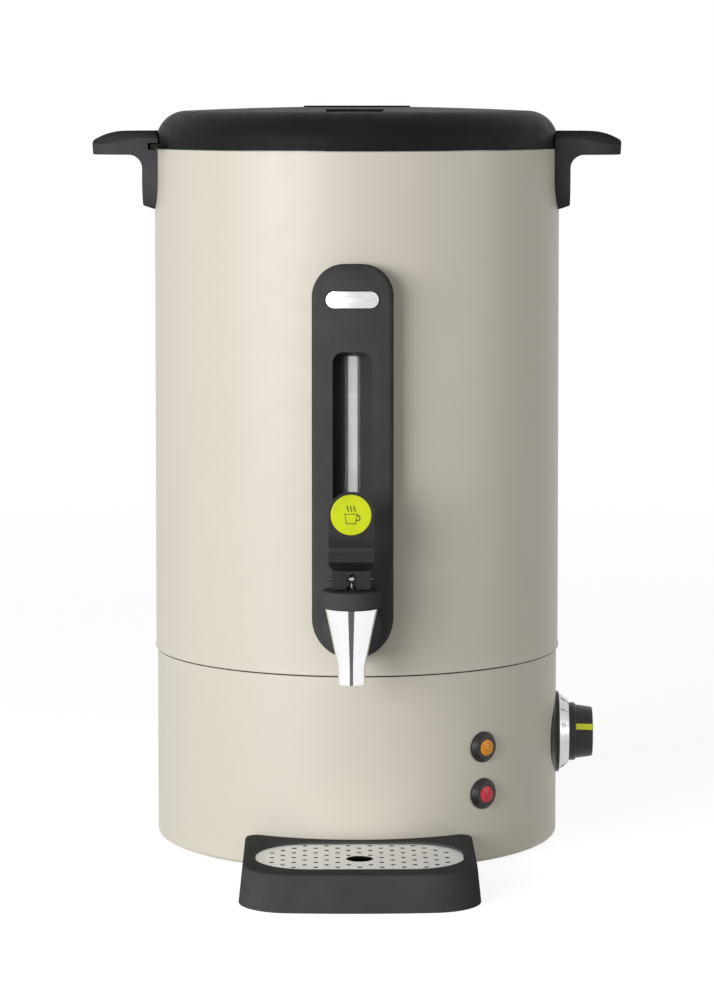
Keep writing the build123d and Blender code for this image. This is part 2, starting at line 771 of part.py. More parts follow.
def lid_cover():
    form = lid_dome(LID_R, LID_BOTTOM, LID_TOP, LID_SHOULDER_R)
    hollow = lid_dome(LID_IN, LID_BOTTOM, LID_TOP - LID_WALL, LID_SHOULDER_R - LID_WALL)
    rib_low = LINER_FLANGE + LINER_T
    rib = ring(TANK_RIM_R - LID_RIB_T, TANK_RIM_R - 2 * LID_RIB_T, rib_low, LID_TOP)
    recess, vent_floor = vent_recess(0)
    vent_tub = vent_recess(LID_WALL)[0]
    grip_floor = LID_TOP - GRIP_DEPTH
    grip_tub = post(GRIP_R + LID_WALL, grip_floor - LID_WALL, LID_TOP)
    bar = block(both_ways(GRIP_R + CUT_OVER), both_ways(GRIP_BAR_W / 2), (grip_floor, LID_TOP + CUT_OVER))
    wells = post(GRIP_R, grip_floor, LID_TOP + CUT_OVER) - bar
    pad_face = Rectangle(GRIP_BAR_L, GRIP_BAR_W)
    pad_face = fillet(pad_face.vertices(), GRIP_PAD_R)
    pad_low = LID_TOP - lid_drop(GRIP_BAR_L / 2) - GRIP_RISE
    pad = extrude(Pos(0, 0, pad_low) * pad_face, amount=LID_TOP + GRIP_RISE - pad_low)
    pad = fillet(pad.faces().sort_by(Axis.Z)[-1].edges(), GRIP_PAD_EDGE_R)
    cover = form - (hollow - rib - vent_tub - grip_tub) - wells - recess + pad
    for index in range(VENT_HOLE_COUNT):
        x = (index - (VENT_HOLE_COUNT - 1) / 2) * VENT_HOLE_SPACING
        middle = -(VENT_NEAR_R + VENT_FAR_R) / 2
        cover -= post(VENT_HOLE_R, vent_floor - LID_WALL - CUT_OVER, LID_TOP, x, middle)
    lug = lid_lug()
    return cover + lug + Rot(0, 0, 180) * lug


def lid_liner():
    spigot = TANK_IN - LINER_CLEAR
    floor = SHELL_TOP - LINER_DEPTH
    return spun(
        (0, floor),
        (spigot, floor, 2 * LINER_T),
        (spigot, LINER_FLANGE),
        (TANK_RIM_R, LINER_FLANGE),
        (TANK_RIM_R, LINER_FLANGE + LINER_T),
        (spigot - LINER_T, LINER_FLANGE + LINER_T),
        (spigot - LINER_T, floor + LINER_T, LINER_T),
        (0, floor + LINER_T),
    )


def lid_seal():
    return ring(TANK_RIM_R, TANK_RIM_R - SEAL_W, TANK_RIM, SEAL_TOP)


# Handles


def handle():
    """The right handle: a crowned grip plate on a bracket, with the lug slot open to the rear."""
    nose = BODY_R + HANDLE_OUT
    low = SHELL_TOP - HANDLE_DROP
    high = SHELL_TOP + HANDLE_RISE
    edge = low + HANDLE_EDGE_T
    skin = BODY_R + BRACKET_T
    tip = SHELL_TOP - BRACKET_DROP
    core = BODY_R - CUT_OVER
    side = outline(
        (core, high),
        (nose, high),
        (nose - HANDLE_NOSE_LEAN, low, HANDLE_EDGE_R),
        (skin, low, HANDLE_COVE_R),
        (skin, tip + BRACKET_SLANT, HANDLE_EDGE_R),
        (core, tip - BRACKET_SLANT),
    )
    half = HANDLE_W / 2
    body = extrude(Plane.XZ * side, amount=half, both=True)
    plan = outline((core, -half), (nose, -half, HANDLE_NOSE_R), (nose, half, HANDLE_NOSE_R), (core, half))
    body &= extrude(Pos(0, 0, tip - CUT_OVER) * plan, amount=high - tip + 2 * CUT_OVER)
    over = high + CUT_OVER
    front = outline((-half, over), (-half, tip, BRACKET_TIP_R), (half, tip, BRACKET_TIP_R), (half, over))
    body &= extrude(Plane.YZ.offset(core) * front, amount=nose - core)
    slope = (high - edge) / (HANDLE_OUT - HANDLE_CROWN_OUT - HANDLE_FLAT)
    foot = tip - BRACKET_SLANT - CUT_OVER
    crown = spun(
        (0, foot),
        (HANDLE_W, foot),
        (HANDLE_W, high - slope * (HANDLE_W - HANDLE_FLAT)),
        (HANDLE_FLAT, high, HANDLE_SWELL_R),
        (0, high),
    )
    body &= Pos(BODY_R + HANDLE_CROWN_OUT, 0, 0) * crown
    body -= post(BODY_R + FIT_GAP, tip - CUT_OVER, over)
    slot_low = LID_BOTTOM - LUG_SLOT_GAP
    slot_high = LID_BOTTOM + LUG_T + LUG_SLOT_GAP
    slot = ring(LUG_R + LUG_SLOT_GAP, BODY_R - CUT_OVER, slot_low, slot_high)
    turn = radians(LUG_START - LOCK_TURN - LUG_SLOT_END)
    far = nose + CUT_OVER
    sector = outline((0, 0), (far * cos(turn), far * sin(turn)), (far, far))
    body -= slot & extrude(Pos(0, 0, slot_low) * sector, amount=slot_high - slot_low)
    for y, z in HANDLE_SCREW_PLACES:
        body -= bar_x(SCREW_R + FIT_GAP, core, BODY_R + SCREW_BITE + FIT_GAP, y, z)
    return body


def handle_screws():
    fastener = to_right(screw(SCREW_R, SCREW_HEAD_R, SCREW_HEAD_T, SHELL_WALL + SCREW_BITE))
    seat = sqrt(SHELL_IN ** 2 - (HANDLE_SCREW_SPREAD / 2 + SCREW_HEAD_R) ** 2) - FIT_GAP
    pair = [Pos(seat, y, z) * fastener for y, z in HANDLE_SCREW_PLACES]
    return bundle(pair + [Rot(0, 0, 180) * piece for piece in pair])


# Tap panel


def panel_form(wall):
    """The panel's outer form, drawn in by a wall all round."""
    half = PANEL_W / 2 - wall
    low = PANEL_BOTTOM + wall
    high = PANEL_TOP - wall
    foot = half * PANEL_FOOT_SHARE
    top = half * PANEL_TOP_SHARE
    face = outline((-half, low, foot), (half, low, foot), (half, high, top), (-half, high, top))
    form = extrude(Plane.XZ.offset(PANEL_BACK) * face, amount=PANEL_PROUD + PANEL_SINK + CUT_OVER)
    crown = spun(
        (0, low - CUT_OVER),
        (PANEL_CROWN_R - wall, low - CUT_OVER),
        (PANEL_CROWN_R - wall, high + PANEL_ROLL_RISE, PANEL_ROLL_R - wall),
        (0, high + PANEL_ROLL_RISE),
    )
    form &= Pos(0, PANEL_CROWN_R - PANEL_FRONT, 0) * crown
    front = form.faces().sort_by(Axis.Y)[0].edges()
    roll = form.faces().filter_by(GeomType.TORUS)[0].edges()
    seam = [edge for edge in front if any(edge.is_same(other) for other in roll)]
    rim = [edge for edge in front + roll if not any(edge.is_same(other) for other in seam)]
    return fillet(rim, PANEL_EDGE_R - wall)


def channel(wall):
    """The gauge's channel, or the tub a wall thickness outside it."""
    half = CHANNEL_W / 2 + wall
    low = CHANNEL_BOTTOM - wall
    high = CHANNEL_TOP + wall
    corner = CHANNEL_CORNER_R + wall
    face = outline((-half, low, corner), (half, low, corner), (half, high, corner), (-half, high, corner))
    return extrude(Plane.XZ.offset(CHANNEL_FLOOR - wall) * face, amount=PANEL_FRONT - CHANNEL_FLOOR + wall)


def front_panel():
    outer = panel_form(0)
    pad = bar_y(INLET_PAD_R, -PANEL_FRONT - INLET_PAD_PROUD, -PANEL_FRONT + PANEL_WALL, z=INLET_Z)
    pad = fillet(pad.edges().sort_by(Axis.Y)[0], INLET_PAD_EDGE_R)
    bosses = [
        bar_y(PANEL_BOSS_R, -PANEL_FRONT, -PANEL_BACK, z=height) & outer for height in PANEL_SCREW_HEIGHTS
    ]
    cover = outer - panel_form(PANEL_WALL) + (channel(CHANNEL_WALL) & outer) + bosses + pad
    cover -= post(BODY_R + FIT_GAP, PANEL_BOTTOM - CUT_OVER, PANEL_TOP + CUT_OVER)
    cover -= channel(0)
    cover -= post(TUBE_R + FIT_GAP, PANEL_BOTTOM, TUBE_TOP, y=GAUGE_Y)
    cover -= bar_y(STUB_R + RUN_GAP, -PANEL_FRONT - CUT_OVER, -PANEL_BACK, z=INLET_Z)
    for height in PANEL_SCREW_HEIGHTS:
        cover -= bar_y(SCREW_R + FIT_GAP, -BODY_R - SCREW_BITE - FIT_GAP, -PANEL_BACK, z=height)
    return cover - badge(BADGE_GROOVE)


def badge(room):
    """The name plate, curved like the panel, or its seat with room all round it."""
    face = Plane.XZ.offset(PANEL_BACK) * SlotOverall(BADGE_W + 2 * room, BADGE_H + 2 * room)
    prism = Pos(0, 0, PANEL_TOP - BADGE_DROP) * extrude(face, amount=PANEL_PROUD + PANEL_SINK + CUT_OVER)
    seat = PANEL_CROWN_R - BADGE_SINK
    tall = (PANEL_BOTTOM, PANEL_TOP)
    return prism & (ring(seat + BADGE_T, seat, *tall).moved(Location((0, PANEL_CROWN_R - PANEL_FRONT, 0))))


def panel_screws():
    fastener = to_front(screw(SCREW_R, SCREW_HEAD_R, SCREW_HEAD_T, SHELL_WALL + SCREW_BITE))
    seat = sqrt(SHELL_IN ** 2 - SCREW_HEAD_R ** 2) - FIT_GAP
    return bundle([Pos(0, -seat, height) * fastener for height in PANEL_SCREW_HEIGHTS])


# Level gauge


def gauge_tube():
    return Pos(0, GAUGE_Y, 0) * ring(TUBE_R, TUBE_R - TUBE_WALL, TUBE_BOTTOM, TUBE_TOP)


def gauge_strip():
    inset = CHANNEL_CORNER_R
    return block(
        both_ways(STRIP_W / 2),
        (-CHANNEL_FLOOR - STRIP_T, -CHANNEL_FLOOR),
        (CHANNEL_BOTTOM + inset, CHANNEL_TOP - inset / 2),
    )


def gauge_cap():
    seat = CHANNEL_TOP + CHANNEL_WALL
    cap = post(TEE_R, seat, seat + GAUGE_CAP_H, y=GAUGE_Y)
    return cap - post(TUBE_R + FIT_GAP, seat, TUBE_TOP, y=GAUGE_Y)


def gauge_tee():
    tee = post(TEE_R, INLET_Z, TUBE_BOTTOM + TUBE_GRIP, y=GAUGE_Y)
    tee -= post(TUBE_R + FIT_GAP, TUBE_BOTTOM, TUBE_BOTTOM + TUBE_GRIP + CUT_OVER, y=GAUGE_Y)
    tee -= post(TEE_PORT_R, INLET_Z, TUBE_BOTTOM, y=GAUGE_Y)
    return tee - bar_y(STUB_R, -PANEL_FRONT, -PANEL_BACK, z=INLET_Z)


# Tap


def tap_body():
    bell = spun(
        (0, SPOUT_BOTTOM),
        (SPOUT_R, SPOUT_BOTTOM, SPOUT_EDGE_R),
        (SPOUT_R, TAP_NECK, TAP_NECK_ROUND_R),
        (TAP_TOP_R, TAP_TOP),
        (0, TAP_TOP),
    )
    body = Pos(0, TAP_Y, 0) * bell + bar_y(STUB_R, TAP_Y, -STUB_END, z=INLET_Z)
    body -= post(CHAMBER_R, SEAT_Z, TAP_TOP + CUT_OVER, y=TAP_Y)
    body -= post(SPOUT_BORE_R, SPOUT_BOTTOM - CUT_OVER, SEAT_Z, y=TAP_Y)
    body -= bar_y(SHANK_BORE_R, TAP_Y, -STUB_END, z=INLET_Z)
    body -= bar_y(SHANK_R + FIT_GAP, -STUB_END - SHANK_GRIP, -BODY_R, z=INLET_Z)
    return body - post(TEE_PORT_R, INLET_Z, INLET_Z + STUB_R + CUT_OVER, y=GAUGE_Y)


def inlet_shank():
    front = -STUB_END - SHANK_GRIP
    back = -TANK_IN + GASKET_T + SHANK_NUT_T + SHANK_TAIL
    tube = bar_y(SHANK_R, front, back, z=INLET_Z) - bar_y(SHANK_BORE_R, front, back, z=INLET_Z)
    return tube - post(TEE_PORT_R, INLET_Z, INLET_Z + STUB_R, y=GAUGE_Y)


def inlet_collar(radius, start, end):
    """A round collar on the inlet shank."""
    return bar_y(radius, start, end, z=INLET_Z) - bar_y(SHANK_R + FIT_GAP, start, end, z=INLET_Z)


def inlet_gaskets():
    tall = (PANEL_BOTTOM, PANEL_TOP)
    outside = inlet_collar(GASKET_R, -STUB_END, -PANEL_BACK) - post(BODY_R, *tall)
    inside = inlet_collar(GASKET_R, -TANK_R, -TANK_IN + GASKET_T) & post(TANK_IN, *tall)
    return bundle([outside, inside])


def wall_spacer():
    tall = (PANEL_BOTTOM, PANEL_TOP)
    collar = inlet_collar(SPACER_R, -SHELL_IN - CUT_OVER, -TANK_IN + CUT_OVER)
    return collar & ring(SHELL_IN - FIT_GAP, TANK_R + FIT_GAP, *tall)


def shank_nut():
    nut = hex_nut(SHANK_NUT_R, SHANK_R + FIT_GAP, 0, SHANK_NUT_T)
    return Pos(0, -TANK_IN + GASKET_T, INLET_Z) * to_back(nut)


def tap_bonnet():
    collar = spun(
        (0, SPIGOT_BOTTOM),
        (CHAMBER_R - FIT_GAP, SPIGOT_BOTTOM),
        (CHAMBER_R - FIT_GAP, TAP_TOP),
        (BONNET_R, TAP_TOP, BONNET_EDGE_R),
        (BONNET_R, BONNET_TOP, BONNET_EDGE_R),
        (BUSH_R, BONNET_TOP),
        (BUSH_R, BONNET_TOP + BUSH_H),
        (0, BONNET_TOP + BUSH_H),
    )
    return Pos(0, TAP_Y, 0) * collar - post(STEM_R + SHAFT_GAP, 0, PIN_Z, y=TAP_Y)


def valve_stem():
    stem = post(STEM_R, CUP_BOTTOM + CUP_WEB, PIN_Z, y=TAP_Y)
    stem += bar_x(EYE_R, -EYE_W / 2, EYE_W / 2, TAP_Y, PIN_Z)
    return stem - bar_x(PIN_R + SHAFT_GAP, -EYE_W, EYE_W, TAP_Y, PIN_Z)


def seat_cup():
    cup = spun((0, CUP_BOTTOM), (CUP_R, CUP_BOTTOM, CUP_LIP_R), (CUP_R, CUP_TOP, CUP_LIP_R), (0, CUP_TOP))
    return Pos(0, TAP_Y, 0) * cup - post(STEM_R + FIT_GAP, CUP_BOTTOM + CUP_WEB, CUP_TOP, y=TAP_Y)


def valve_spring():
    low = CUP_TOP + SPRING_WIRE_R + FIT_GAP
    high = SPIGOT_BOTTOM - SPRING_WIRE_R - FIT_GAP
    coil = Helix((high - low) / SPRING_TURNS, high - low, SPRING_R, center=(0, TAP_Y, low))
    section = Plane(origin=coil @ 0, z_dir=coil % 0) * Circle(SPRING_WIRE_R)
    return sweep(section, path=coil, is_frenet=True)


def lever_pin():
    return bar_x(PIN_R, -LEVER_W / 2, LEVER_W / 2, TAP_Y, PIN_Z)


def tap_lever():
    heel = -PIN_RISE + RUN_GAP
    side = outline(
        (LEVER_HEEL, heel, LEVER_EDGE_R),
        (LEVER_HEEL, FORK_TOP),
        (LEVER_BACK - LEVER_FACE, RIDGE_RISE + FORK_TOP, LEVER_WAIST_R),
        (LEVER_BACK - LEVER_FACE, LEVER_TOP, LEVER_EDGE_R),
        (-LEVER_FACE, LEVER_TOP, LEVER_EDGE_R),
        (-LEVER_FACE, FACE_RISE),
        (-LEVER_WAIST, WAIST_RISE, LEVER_WAIST_R),
        (-LEVER_RIDGE, RIDGE_RISE, LEVER_RIDGE_R),
        (-LEVER_HEEL, FORK_TOP),
        (-LEVER_HEEL, heel, LEVER_EDGE_R),
    )
    half = LEVER_W / 2
    body = extrude(Plane.YZ * side, amount=half, both=True)
    round_top = half * LEVER_TOP_SHARE
    front = outline(
        (-half, FORK_TOP, LIP_R),
        (half, FORK_TOP, LIP_R),
        (half, LEVER_TOP, round_top),
        (-half, LEVER_TOP, round_top),
    )
    fork = block(both_ways(FORK_W / 2), both_ways(LEVER_HEEL), (heel, FORK_TOP + LIP_R))
    body &= extrude(Plane.XZ * front, amount=LEVER_RIDGE + LEVER_HEEL, both=True) + fork
    body -= block(both_ways(FORK_GAP / 2), both_ways(LEVER_RIDGE + CUT_OVER), (heel - CUT_OVER, SLOT_RISE))
    body -= bar_x(PIN_R + SHAFT_GAP, -LEVER_W, LEVER_W)
    body -= bar_y(DISC_R + FIT_GAP, -LEVER_FACE - CUT_OVER, -LEVER_FACE + DISC_SINK, z=LEVER_TOP - half)
    return Pos(0, TAP_Y, PIN_Z) * body


def lever_disc():
    back = TAP_Y - LEVER_FACE + DISC_SINK
    disc = bar_y(DISC_R, back - DISC_T, back, z=PIN_Z + LEVER_TOP - LEVER_W / 2)
    return fillet(disc.edges().sort_by(Axis.Y)[0], DISC_EDGE_R)


# Thermostat and knob


def on_knob_axis(shape):
    """Move a piece drawn about the upright axis onto the knob's axis."""
    return Pos(0, 0, KNOB_Z) * to_right(shape)


def dial_flange():
    disc = spun(
        (BUSHING_R + FIT_GAP, FLANGE_BACK),
        (FLANGE_FLARE_R, FLANGE_BACK),
        (FLANGE_FLARE_R, SKIRT_R - FLANGE_FLARE_DROP),
        (FLANGE_R, SKIRT_R),
        (FLANGE_R, FLANGE_FRONT, FLANGE_EDGE_R),
        (BUSHING_R + FIT_GAP, FLANGE_FRONT),
    )
    flange = on_knob_axis(disc) - post(SKIRT_R + FIT_GAP, SKIRT_BOTTOM, SKIRT_TOP)
    for side in both_ways(DIAL_SCREW_OUT):
        flange -= bar_x(DIAL_SCREW_R + FIT_GAP, 0, DIAL_SCREW_TIP + FIT_GAP, side, KNOB_Z)
    return flange


def dial_ring():
    lean = DIAL_R - DIAL_FRONT_R
    return on_knob_axis(
        spun(
            (DIAL_R - DIAL_WALL, FLANGE_FRONT),
            (DIAL_R, FLANGE_FRONT),
            (DIAL_FRONT_R, DIAL_FRONT),
            (SHAFT_R + RUN_GAP, DIAL_FRONT),
            (SHAFT_R + RUN_GAP, DIAL_FRONT - DIAL_WALL),
            (DIAL_FRONT_R - DIAL_WALL + lean * DIAL_WALL / DIAL_T, DIAL_FRONT - DIAL_WALL),
        )
    )


def knob_form(proud):
    """The knob's turned form, grown all round."""
    return on_knob_axis(
        spun(
            (0, KNOB_BACK),
            (KNOB_COLLAR_R, KNOB_BACK),
            (KNOB_COLLAR_R, KNOB_SHOULDER, KNOB_EDGE_R),
            (KNOB_R + proud, KNOB_SHOULDER),
            (KNOB_END_R + proud, KNOB_END + proud, KNOB_EDGE_R),
            (0, KNOB_END + proud),
        )
    )


def knob_pointer():
    mark = block((KNOB_SHOULDER, KNOB_END + CUT_OVER), (-KNOB_R - CUT_OVER, 0), both_ways(POINTER_W / 2))
    mark = Pos(0, 0, KNOB_Z) * Rot(-POINTER_TURN, 0, 0) * mark
    return (mark & knob_form(POINTER_PROUD)) - knob_form(-POINTER_SINK)


def knob():
    grip = knob_form(0) - knob_pointer()
    return grip - bar_x(SHAFT_R + SHAFT_GAP, KNOB_BACK, KNOB_BACK + KNOB_BORE_DEPTH, z=KNOB_Z)


def thermostat_shaft():
    return bar_x(SHAFT_R, THERMO_FRONT - SHAFT_TAIL, KNOB_BACK + KNOB_BORE_DEPTH, z=KNOB_Z)


def thermostat():
    case = block(
        (THERMO_BACK, THERMO_FRONT),
        both_ways(THERMO_W / 2),
        (KNOB_Z - THERMO_H / 2, KNOB_Z + THERMO_H / 2),
    )
    case += bar_x(BUSHING_R, THERMO_FRONT, SKIRT_R, z=KNOB_Z)
    return case - bar_x(SHAFT_R + SHAFT_GAP, THERMO_FRONT - SHAFT_TAIL - RUN_GAP, BODY_R, z=KNOB_Z)


def thermostat_bracket():
    plate = block(
        (THERMO_FRONT, SKIRT_R),
        both_ways(BRACKET_W / 2),
        (KNOB_Z - BRACKET_H / 2, KNOB_Z + BRACKET_H / 2),
    )
    plate &= post(SKIRT_IN - FIT_GAP, SKIRT_BOTTOM, SKIRT_TOP)
    plate -= bar_x(BUSHING_R + FIT_GAP, THERMO_BACK, BODY_R, z=KNOB_Z)
    for side in both_ways(DIAL_SCREW_OUT):
        plate -= bar_x(DIAL_SCREW_R + FIT_GAP, THERMO_BACK, BODY_R, side, KNOB_Z)
    return plate


def dial_screws():
    head = DIAL_SCREW_HEAD_R - DIAL_SCREW_R
    fastener = to_right(screw(DIAL_SCREW_R, DIAL_SCREW_HEAD_R, head, DIAL_SCREW_TIP - THERMO_FRONT))
    return bundle([Pos(THERMO_FRONT, side, KNOB_Z) * fastener for side in both_ways(DIAL_SCREW_OUT)])


def heater_bulb(side, direction):
    """A sensing bulb under the heater plate, and the way its capillary leaves it."""
    y = side * BULB_OUT
    bulb = bar_x(BULB_R, -BULB_L / 2, BULB_L / 2, y, BULB_Z)
    exit_points = [(direction * (BULB_L / 2 + WIRE_STANDOFF), y, BULB_Z), (direction * BULB_L / 2, y, BULB_Z)]
    return bulb, exit_points


def thermostat_bulb():
    bulb, exit_points = heater_bulb(1, 1)
    height = KNOB_Z + CAPILLARY_LIFT
    entry = [(THERMO_BACK, CAPILLARY_SIDE, height), (THERMO_BACK - WIRE_STANDOFF, CAPILLARY_SIDE, height)]
    return bulb + tube_along(entry + exit_points, CAPILLARY_R, CAPILLARY_BEND_R)


def cutout_bulb():
    bulb, exit_points = heater_bulb(-1, -1)
    top = PLATE_TOP + CUTOUT_H
    entry = [(*RESET_PLACE, top), (*RESET_PLACE, top + WIRE_STANDOFF)]
    return bulb + tube_along(entry + exit_points, CAPILLARY_R, CAPILLARY_BEND_R)


def bulb_clips():
    clips = []
    for side in (-1, 1):
        y = side * BULB_OUT
        clip = block(
            both_ways(CLIP_W / 2),
            (y - BULB_R - CLIP_WALL, y + BULB_R + CLIP_WALL),
            (BULB_Z - BULB_R - CLIP_WALL / 2, HEATER_BOTTOM),
        )
        room = BULB_R + FIT_GAP
        mouth = block(both_ways(CLIP_W), (y - room, y + room), (BULB_Z, HEATER_BOTTOM + CUT_OVER))
        clips.append(clip - bar_x(room, -BULB_L, BULB_L, y, BULB_Z) - mouth)
    return bundle(clips)


# Lamps


def lamp_bezel(height):
    front = SKIRT_R + BEZEL_PROUD
    tail = SKIRT_R - BEZEL_BARREL_L
    collar = spun(
        (0, SKIRT_IN),
        (BEZEL_R, SKIRT_IN),
        (BEZEL_R, SKIRT_R + BEZEL_RIM, BEZEL_EDGE_R),
        (BEZEL_FRONT_R, front, BEZEL_EDGE_R),
        (0, front),
    )
    bezel = to_front(collar) - post(SKIRT_R + FIT_GAP, *both_ways(BEZEL_R + CUT_OVER))
    bezel += bar_y(BEZEL_BARREL_R, -LENS_SEAT, -tail)
    bezel -= bar_y(INSERT_R + FIT_GAP, -front - CUT_OVER, 0)
    bezel -= bar_y(LENS_R + FIT_GAP, -front - CUT_OVER, -LENS_SEAT)
    return at_lamp(bezel, height)


def lamp_lens(height):
    lens = domed_post(LENS_R, LENS_SEAT, LENS_SEAT + LENS_T + LENS_DOME, ball_radius(LENS_R, LENS_DOME))
    return at_lamp(to_front(lens), height)


def lamp_inserts():
    insert = bar_y(INSERT_R, -LENS_SEAT, INSERT_L - SKIRT_R)
    return bundle([at_lamp(insert, height) for height in LAMP_HEIGHTS])


def lamp_nuts():
    flat = sqrt(SKIRT_IN ** 2 - LAMP_NUT_R ** 2) - FIT_GAP
    nut = to_front(hex_nut(LAMP_NUT_R, BEZEL_BARREL_R + FIT_GAP, flat - LAMP_NUT_T, flat))
    return bundle([at_lamp(nut, height) for height in LAMP_HEIGHTS])


# Cable gland, terminal block, reset and wiring


def on_gland_axis(shape):
    """Move a piece drawn about the upright axis onto the gland's axis."""
    return Pos(0, 0, GLAND_Z) * to_back(shape)


def gland_body():
    flange = hex_nut(GLAND_FLANGE_R, GLAND_BORE_R, SKIRT_IN, SKIRT_R + GLAND_FLANGE_T)
    body = on_gland_axis(flange) - post(SKIRT_R + FIT_GAP, 0, SKIRT_TOP)
    barrel = ring(GLAND_BARREL_R, GLAND_BORE_R, SKIRT_R - GLAND_BARREL_L, SKIRT_R + GLAND_FLANGE_T)
    return body + on_gland_axis(barrel)


def gland_nut():
    start = SKIRT_R + GLAND_FLANGE_T
    bore = GLAND_BORE_R - GLAND_SEAL_WALL
    return on_gland_axis(
        spun((bore, start), (GLAND_NUT_R, start), (GLAND_NUT_R, start + GLAND_NUT_L / 2),
             (GLAND_NUT_END_R, GLAND_END), (bore, GLAND_END))
    )


def gland_locknut():
    flat = sqrt(SKIRT_IN ** 2 - GLAND_FLANGE_R ** 2) - FIT_GAP
    return on_gland_axis(hex_nut(GLAND_FLANGE_R, GLAND_BARREL_R + FIT_GAP, flat - GLAND_LOCK_T, flat))


def gland_seal():
    outer = GLAND_BORE_R - FIT_GAP
    inner = GLAND_BORE_R - GLAND_SEAL_WALL
    return on_gland_axis(ring(outer, inner, SKIRT_R - GLAND_BARREL_L, SKIRT_R + GLAND_FLANGE_T))


def terminal_block():
    return block(
        both_ways(TERMINAL_W / 2),
        (TERMINAL_OUT - TERMINAL_D / 2, TERMINAL_OUT + TERMINAL_D / 2),
        (PLATE_TOP, TERMINAL_TOP),
    )


def thermal_cutout():
    x, y = RESET_PLACE
    half = CUTOUT_W / 2
    case = block((x - half, x + half), (y - half, y + half), (PLATE_TOP, PLATE_TOP + CUTOUT_H))
    return case - post(RESET_R + SHAFT_GAP, 0, RESET_SINK + RESET_L + RESET_TRAVEL + RUN_GAP, x, y)


def reset_button():
    return post(RESET_R, RESET_SINK, RESET_SINK + RESET_L, *RESET_PLACE)


def lamp_wire_start(height):
    """Where a lamp's lead leaves its insert, and a point straight behind that."""
    turn = radians(LAMP_TURN)
    tails = [SKIRT_R - INSERT_L, SKIRT_R - INSERT_L - WIRE_STANDOFF]
    return [(tail * sin(turn), -tail * cos(turn), height) for tail in tails]


def wiring():
    posts = [(step * TERMINAL_SPACING, TERMINAL_OUT) for step in (-1, 0, 1)]
    tags = [step * THERMO_WIRE_SPACING for step in (-1, 0, 1)]
    near = THERMO_BACK - WIRE_STANDOFF
    low = KNOB_Z - THERMO_WIRE_DROP
    high = KNOB_Z + THERMO_WIRE_LIFT
    left_pin, right_pin = ELEMENT_ENDS
    routes = [
        [
            (*posts[0], TERMINAL_TOP),
            (*posts[0], HEATER_WIRE_Z),
            (*left_pin, HEATER_WIRE_Z),
            (*left_pin, ELEMENT_PIN_BOTTOM),
        ],
        [(*posts[1], TERMINAL_TOP), (*posts[1], low), (near, tags[2], low), (THERMO_BACK, tags[2], low)],
        [
            (THERMO_BACK, tags[1], high),
            (near, tags[1], high),
            (*right_pin, high),
            (*right_pin, ELEMENT_PIN_BOTTOM),
        ],
        lamp_wire_start(AMBER_Z) + [(near, tags[0], AMBER_Z), (THERMO_BACK, tags[0], AMBER_Z)],
        lamp_wire_start(RED_Z) + [(*posts[2], RED_Z), (*posts[2], TERMINAL_TOP)],
    ]
    return bundle([tube_along(route, WIRE_R, WIRE_BEND_R) for route in routes])


# Drip tray and grille


def drip_tray():
    half = TRAY_W / 2
    back = -SKIRT_R + TRAY_W / 2
    bow = ThreePointArc((-half, TRAY_BOW - TRAY_FRONT), (0, -TRAY_FRONT), (half, TRAY_BOW - TRAY_FRONT))
    sides = [
        Line((half, TRAY_BOW - TRAY_FRONT), (half, back)),
        Line((half, back), (-half, back)),
        Line((-half, back), (-half, TRAY_BOW - TRAY_FRONT)),
    ]
    plan = Sketch() + make_face([bow] + sides)
    plan = fillet(plan.vertices().group_by(Axis.Y)[0], TRAY_FRONT_R)
    form = extrude(plan, amount=TRAY_H, taper=TRAY_DRAFT)
    form -= post(SKIRT_R + TRAY_GAP, -CUT_OVER, TRAY_H + CUT_OVER)
    uprights = form.edges().filter_by(lambda edge: abs((edge @ 0).Z - (edge @ 1).Z) > TRAY_H / 2)
    form = fillet(uprights.group_by(Axis.Y)[-1], TRAY_BACK_R)
    form = fillet(form.faces().sort_by(Axis.Z)[-1].edges(), TRAY_EDGE_R)
    form -= extrude(Pos(0, 0, GRILLE_BOTTOM) * grille_face(RUN_GAP), amount=TRAY_H)
    return form - extrude(Pos(0, 0, TRAY_FLOOR) * grille_face(-GRILLE_LEDGE), amount=TRAY_H)


def grille_face(grow):
    """The grille's rounded outline, grown all round."""
    face = Rectangle(GRILLE_W + 2 * grow, GRILLE_D + 2 * grow)
    return Pos(0, GRILLE_Y, 0) * fillet(face.vertices(), GRILLE_CORNER_R + grow)


def grille_edge_distance(x, y):
    """How far inside the grille's outline a place lies, measured from the grille's middle."""
    side = max(abs(x) - GRILLE_W / 2 + GRILLE_CORNER_R, 0)
    depth = max(abs(y) - GRILLE_D / 2 + GRILLE_CORNER_R, 0)
    return GRILLE_CORNER_R - sqrt(side ** 2 + depth ** 2)


def grille_hole_places():
    """Every other crossing of a square lattice, clear of the edge and of the finger hole."""
    columns = int(GRILLE_W / 2 / GRILLE_HOLE_SPACING)
    rows = int(GRILLE_D / 2 / GRILLE_HOLE_SPACING)
    places = []
    for column in range(-columns, columns + 1):
        for row in range(-rows, rows + 1):
            x = column * GRILLE_HOLE_SPACING
            y = row * GRILLE_HOLE_SPACING
            to_finger_hole = sqrt(x ** 2 + (y + FINGER_HOLE_AHEAD) ** 2) - FINGER_HOLE_R
            clear = grille_edge_distance(x, y) > GRILLE_MARGIN and to_finger_hole > FINGER_HOLE_RIM
            if (column + row) % 2 == 0 and clear:
                places.append((x, GRILLE_Y + y))
    return places


def drip_grille():
    holes = [Pos(x, y) * Circle(GRILLE_HOLE_R) for x, y in grille_hole_places()]
    plate = grille_face(0) - holes - Pos(0, FINGER_HOLE_Y) * Circle(FINGER_HOLE_R)
    return extrude(Pos(0, 0, GRILLE_BOTTOM) * plate, amount=GRILLE_T)


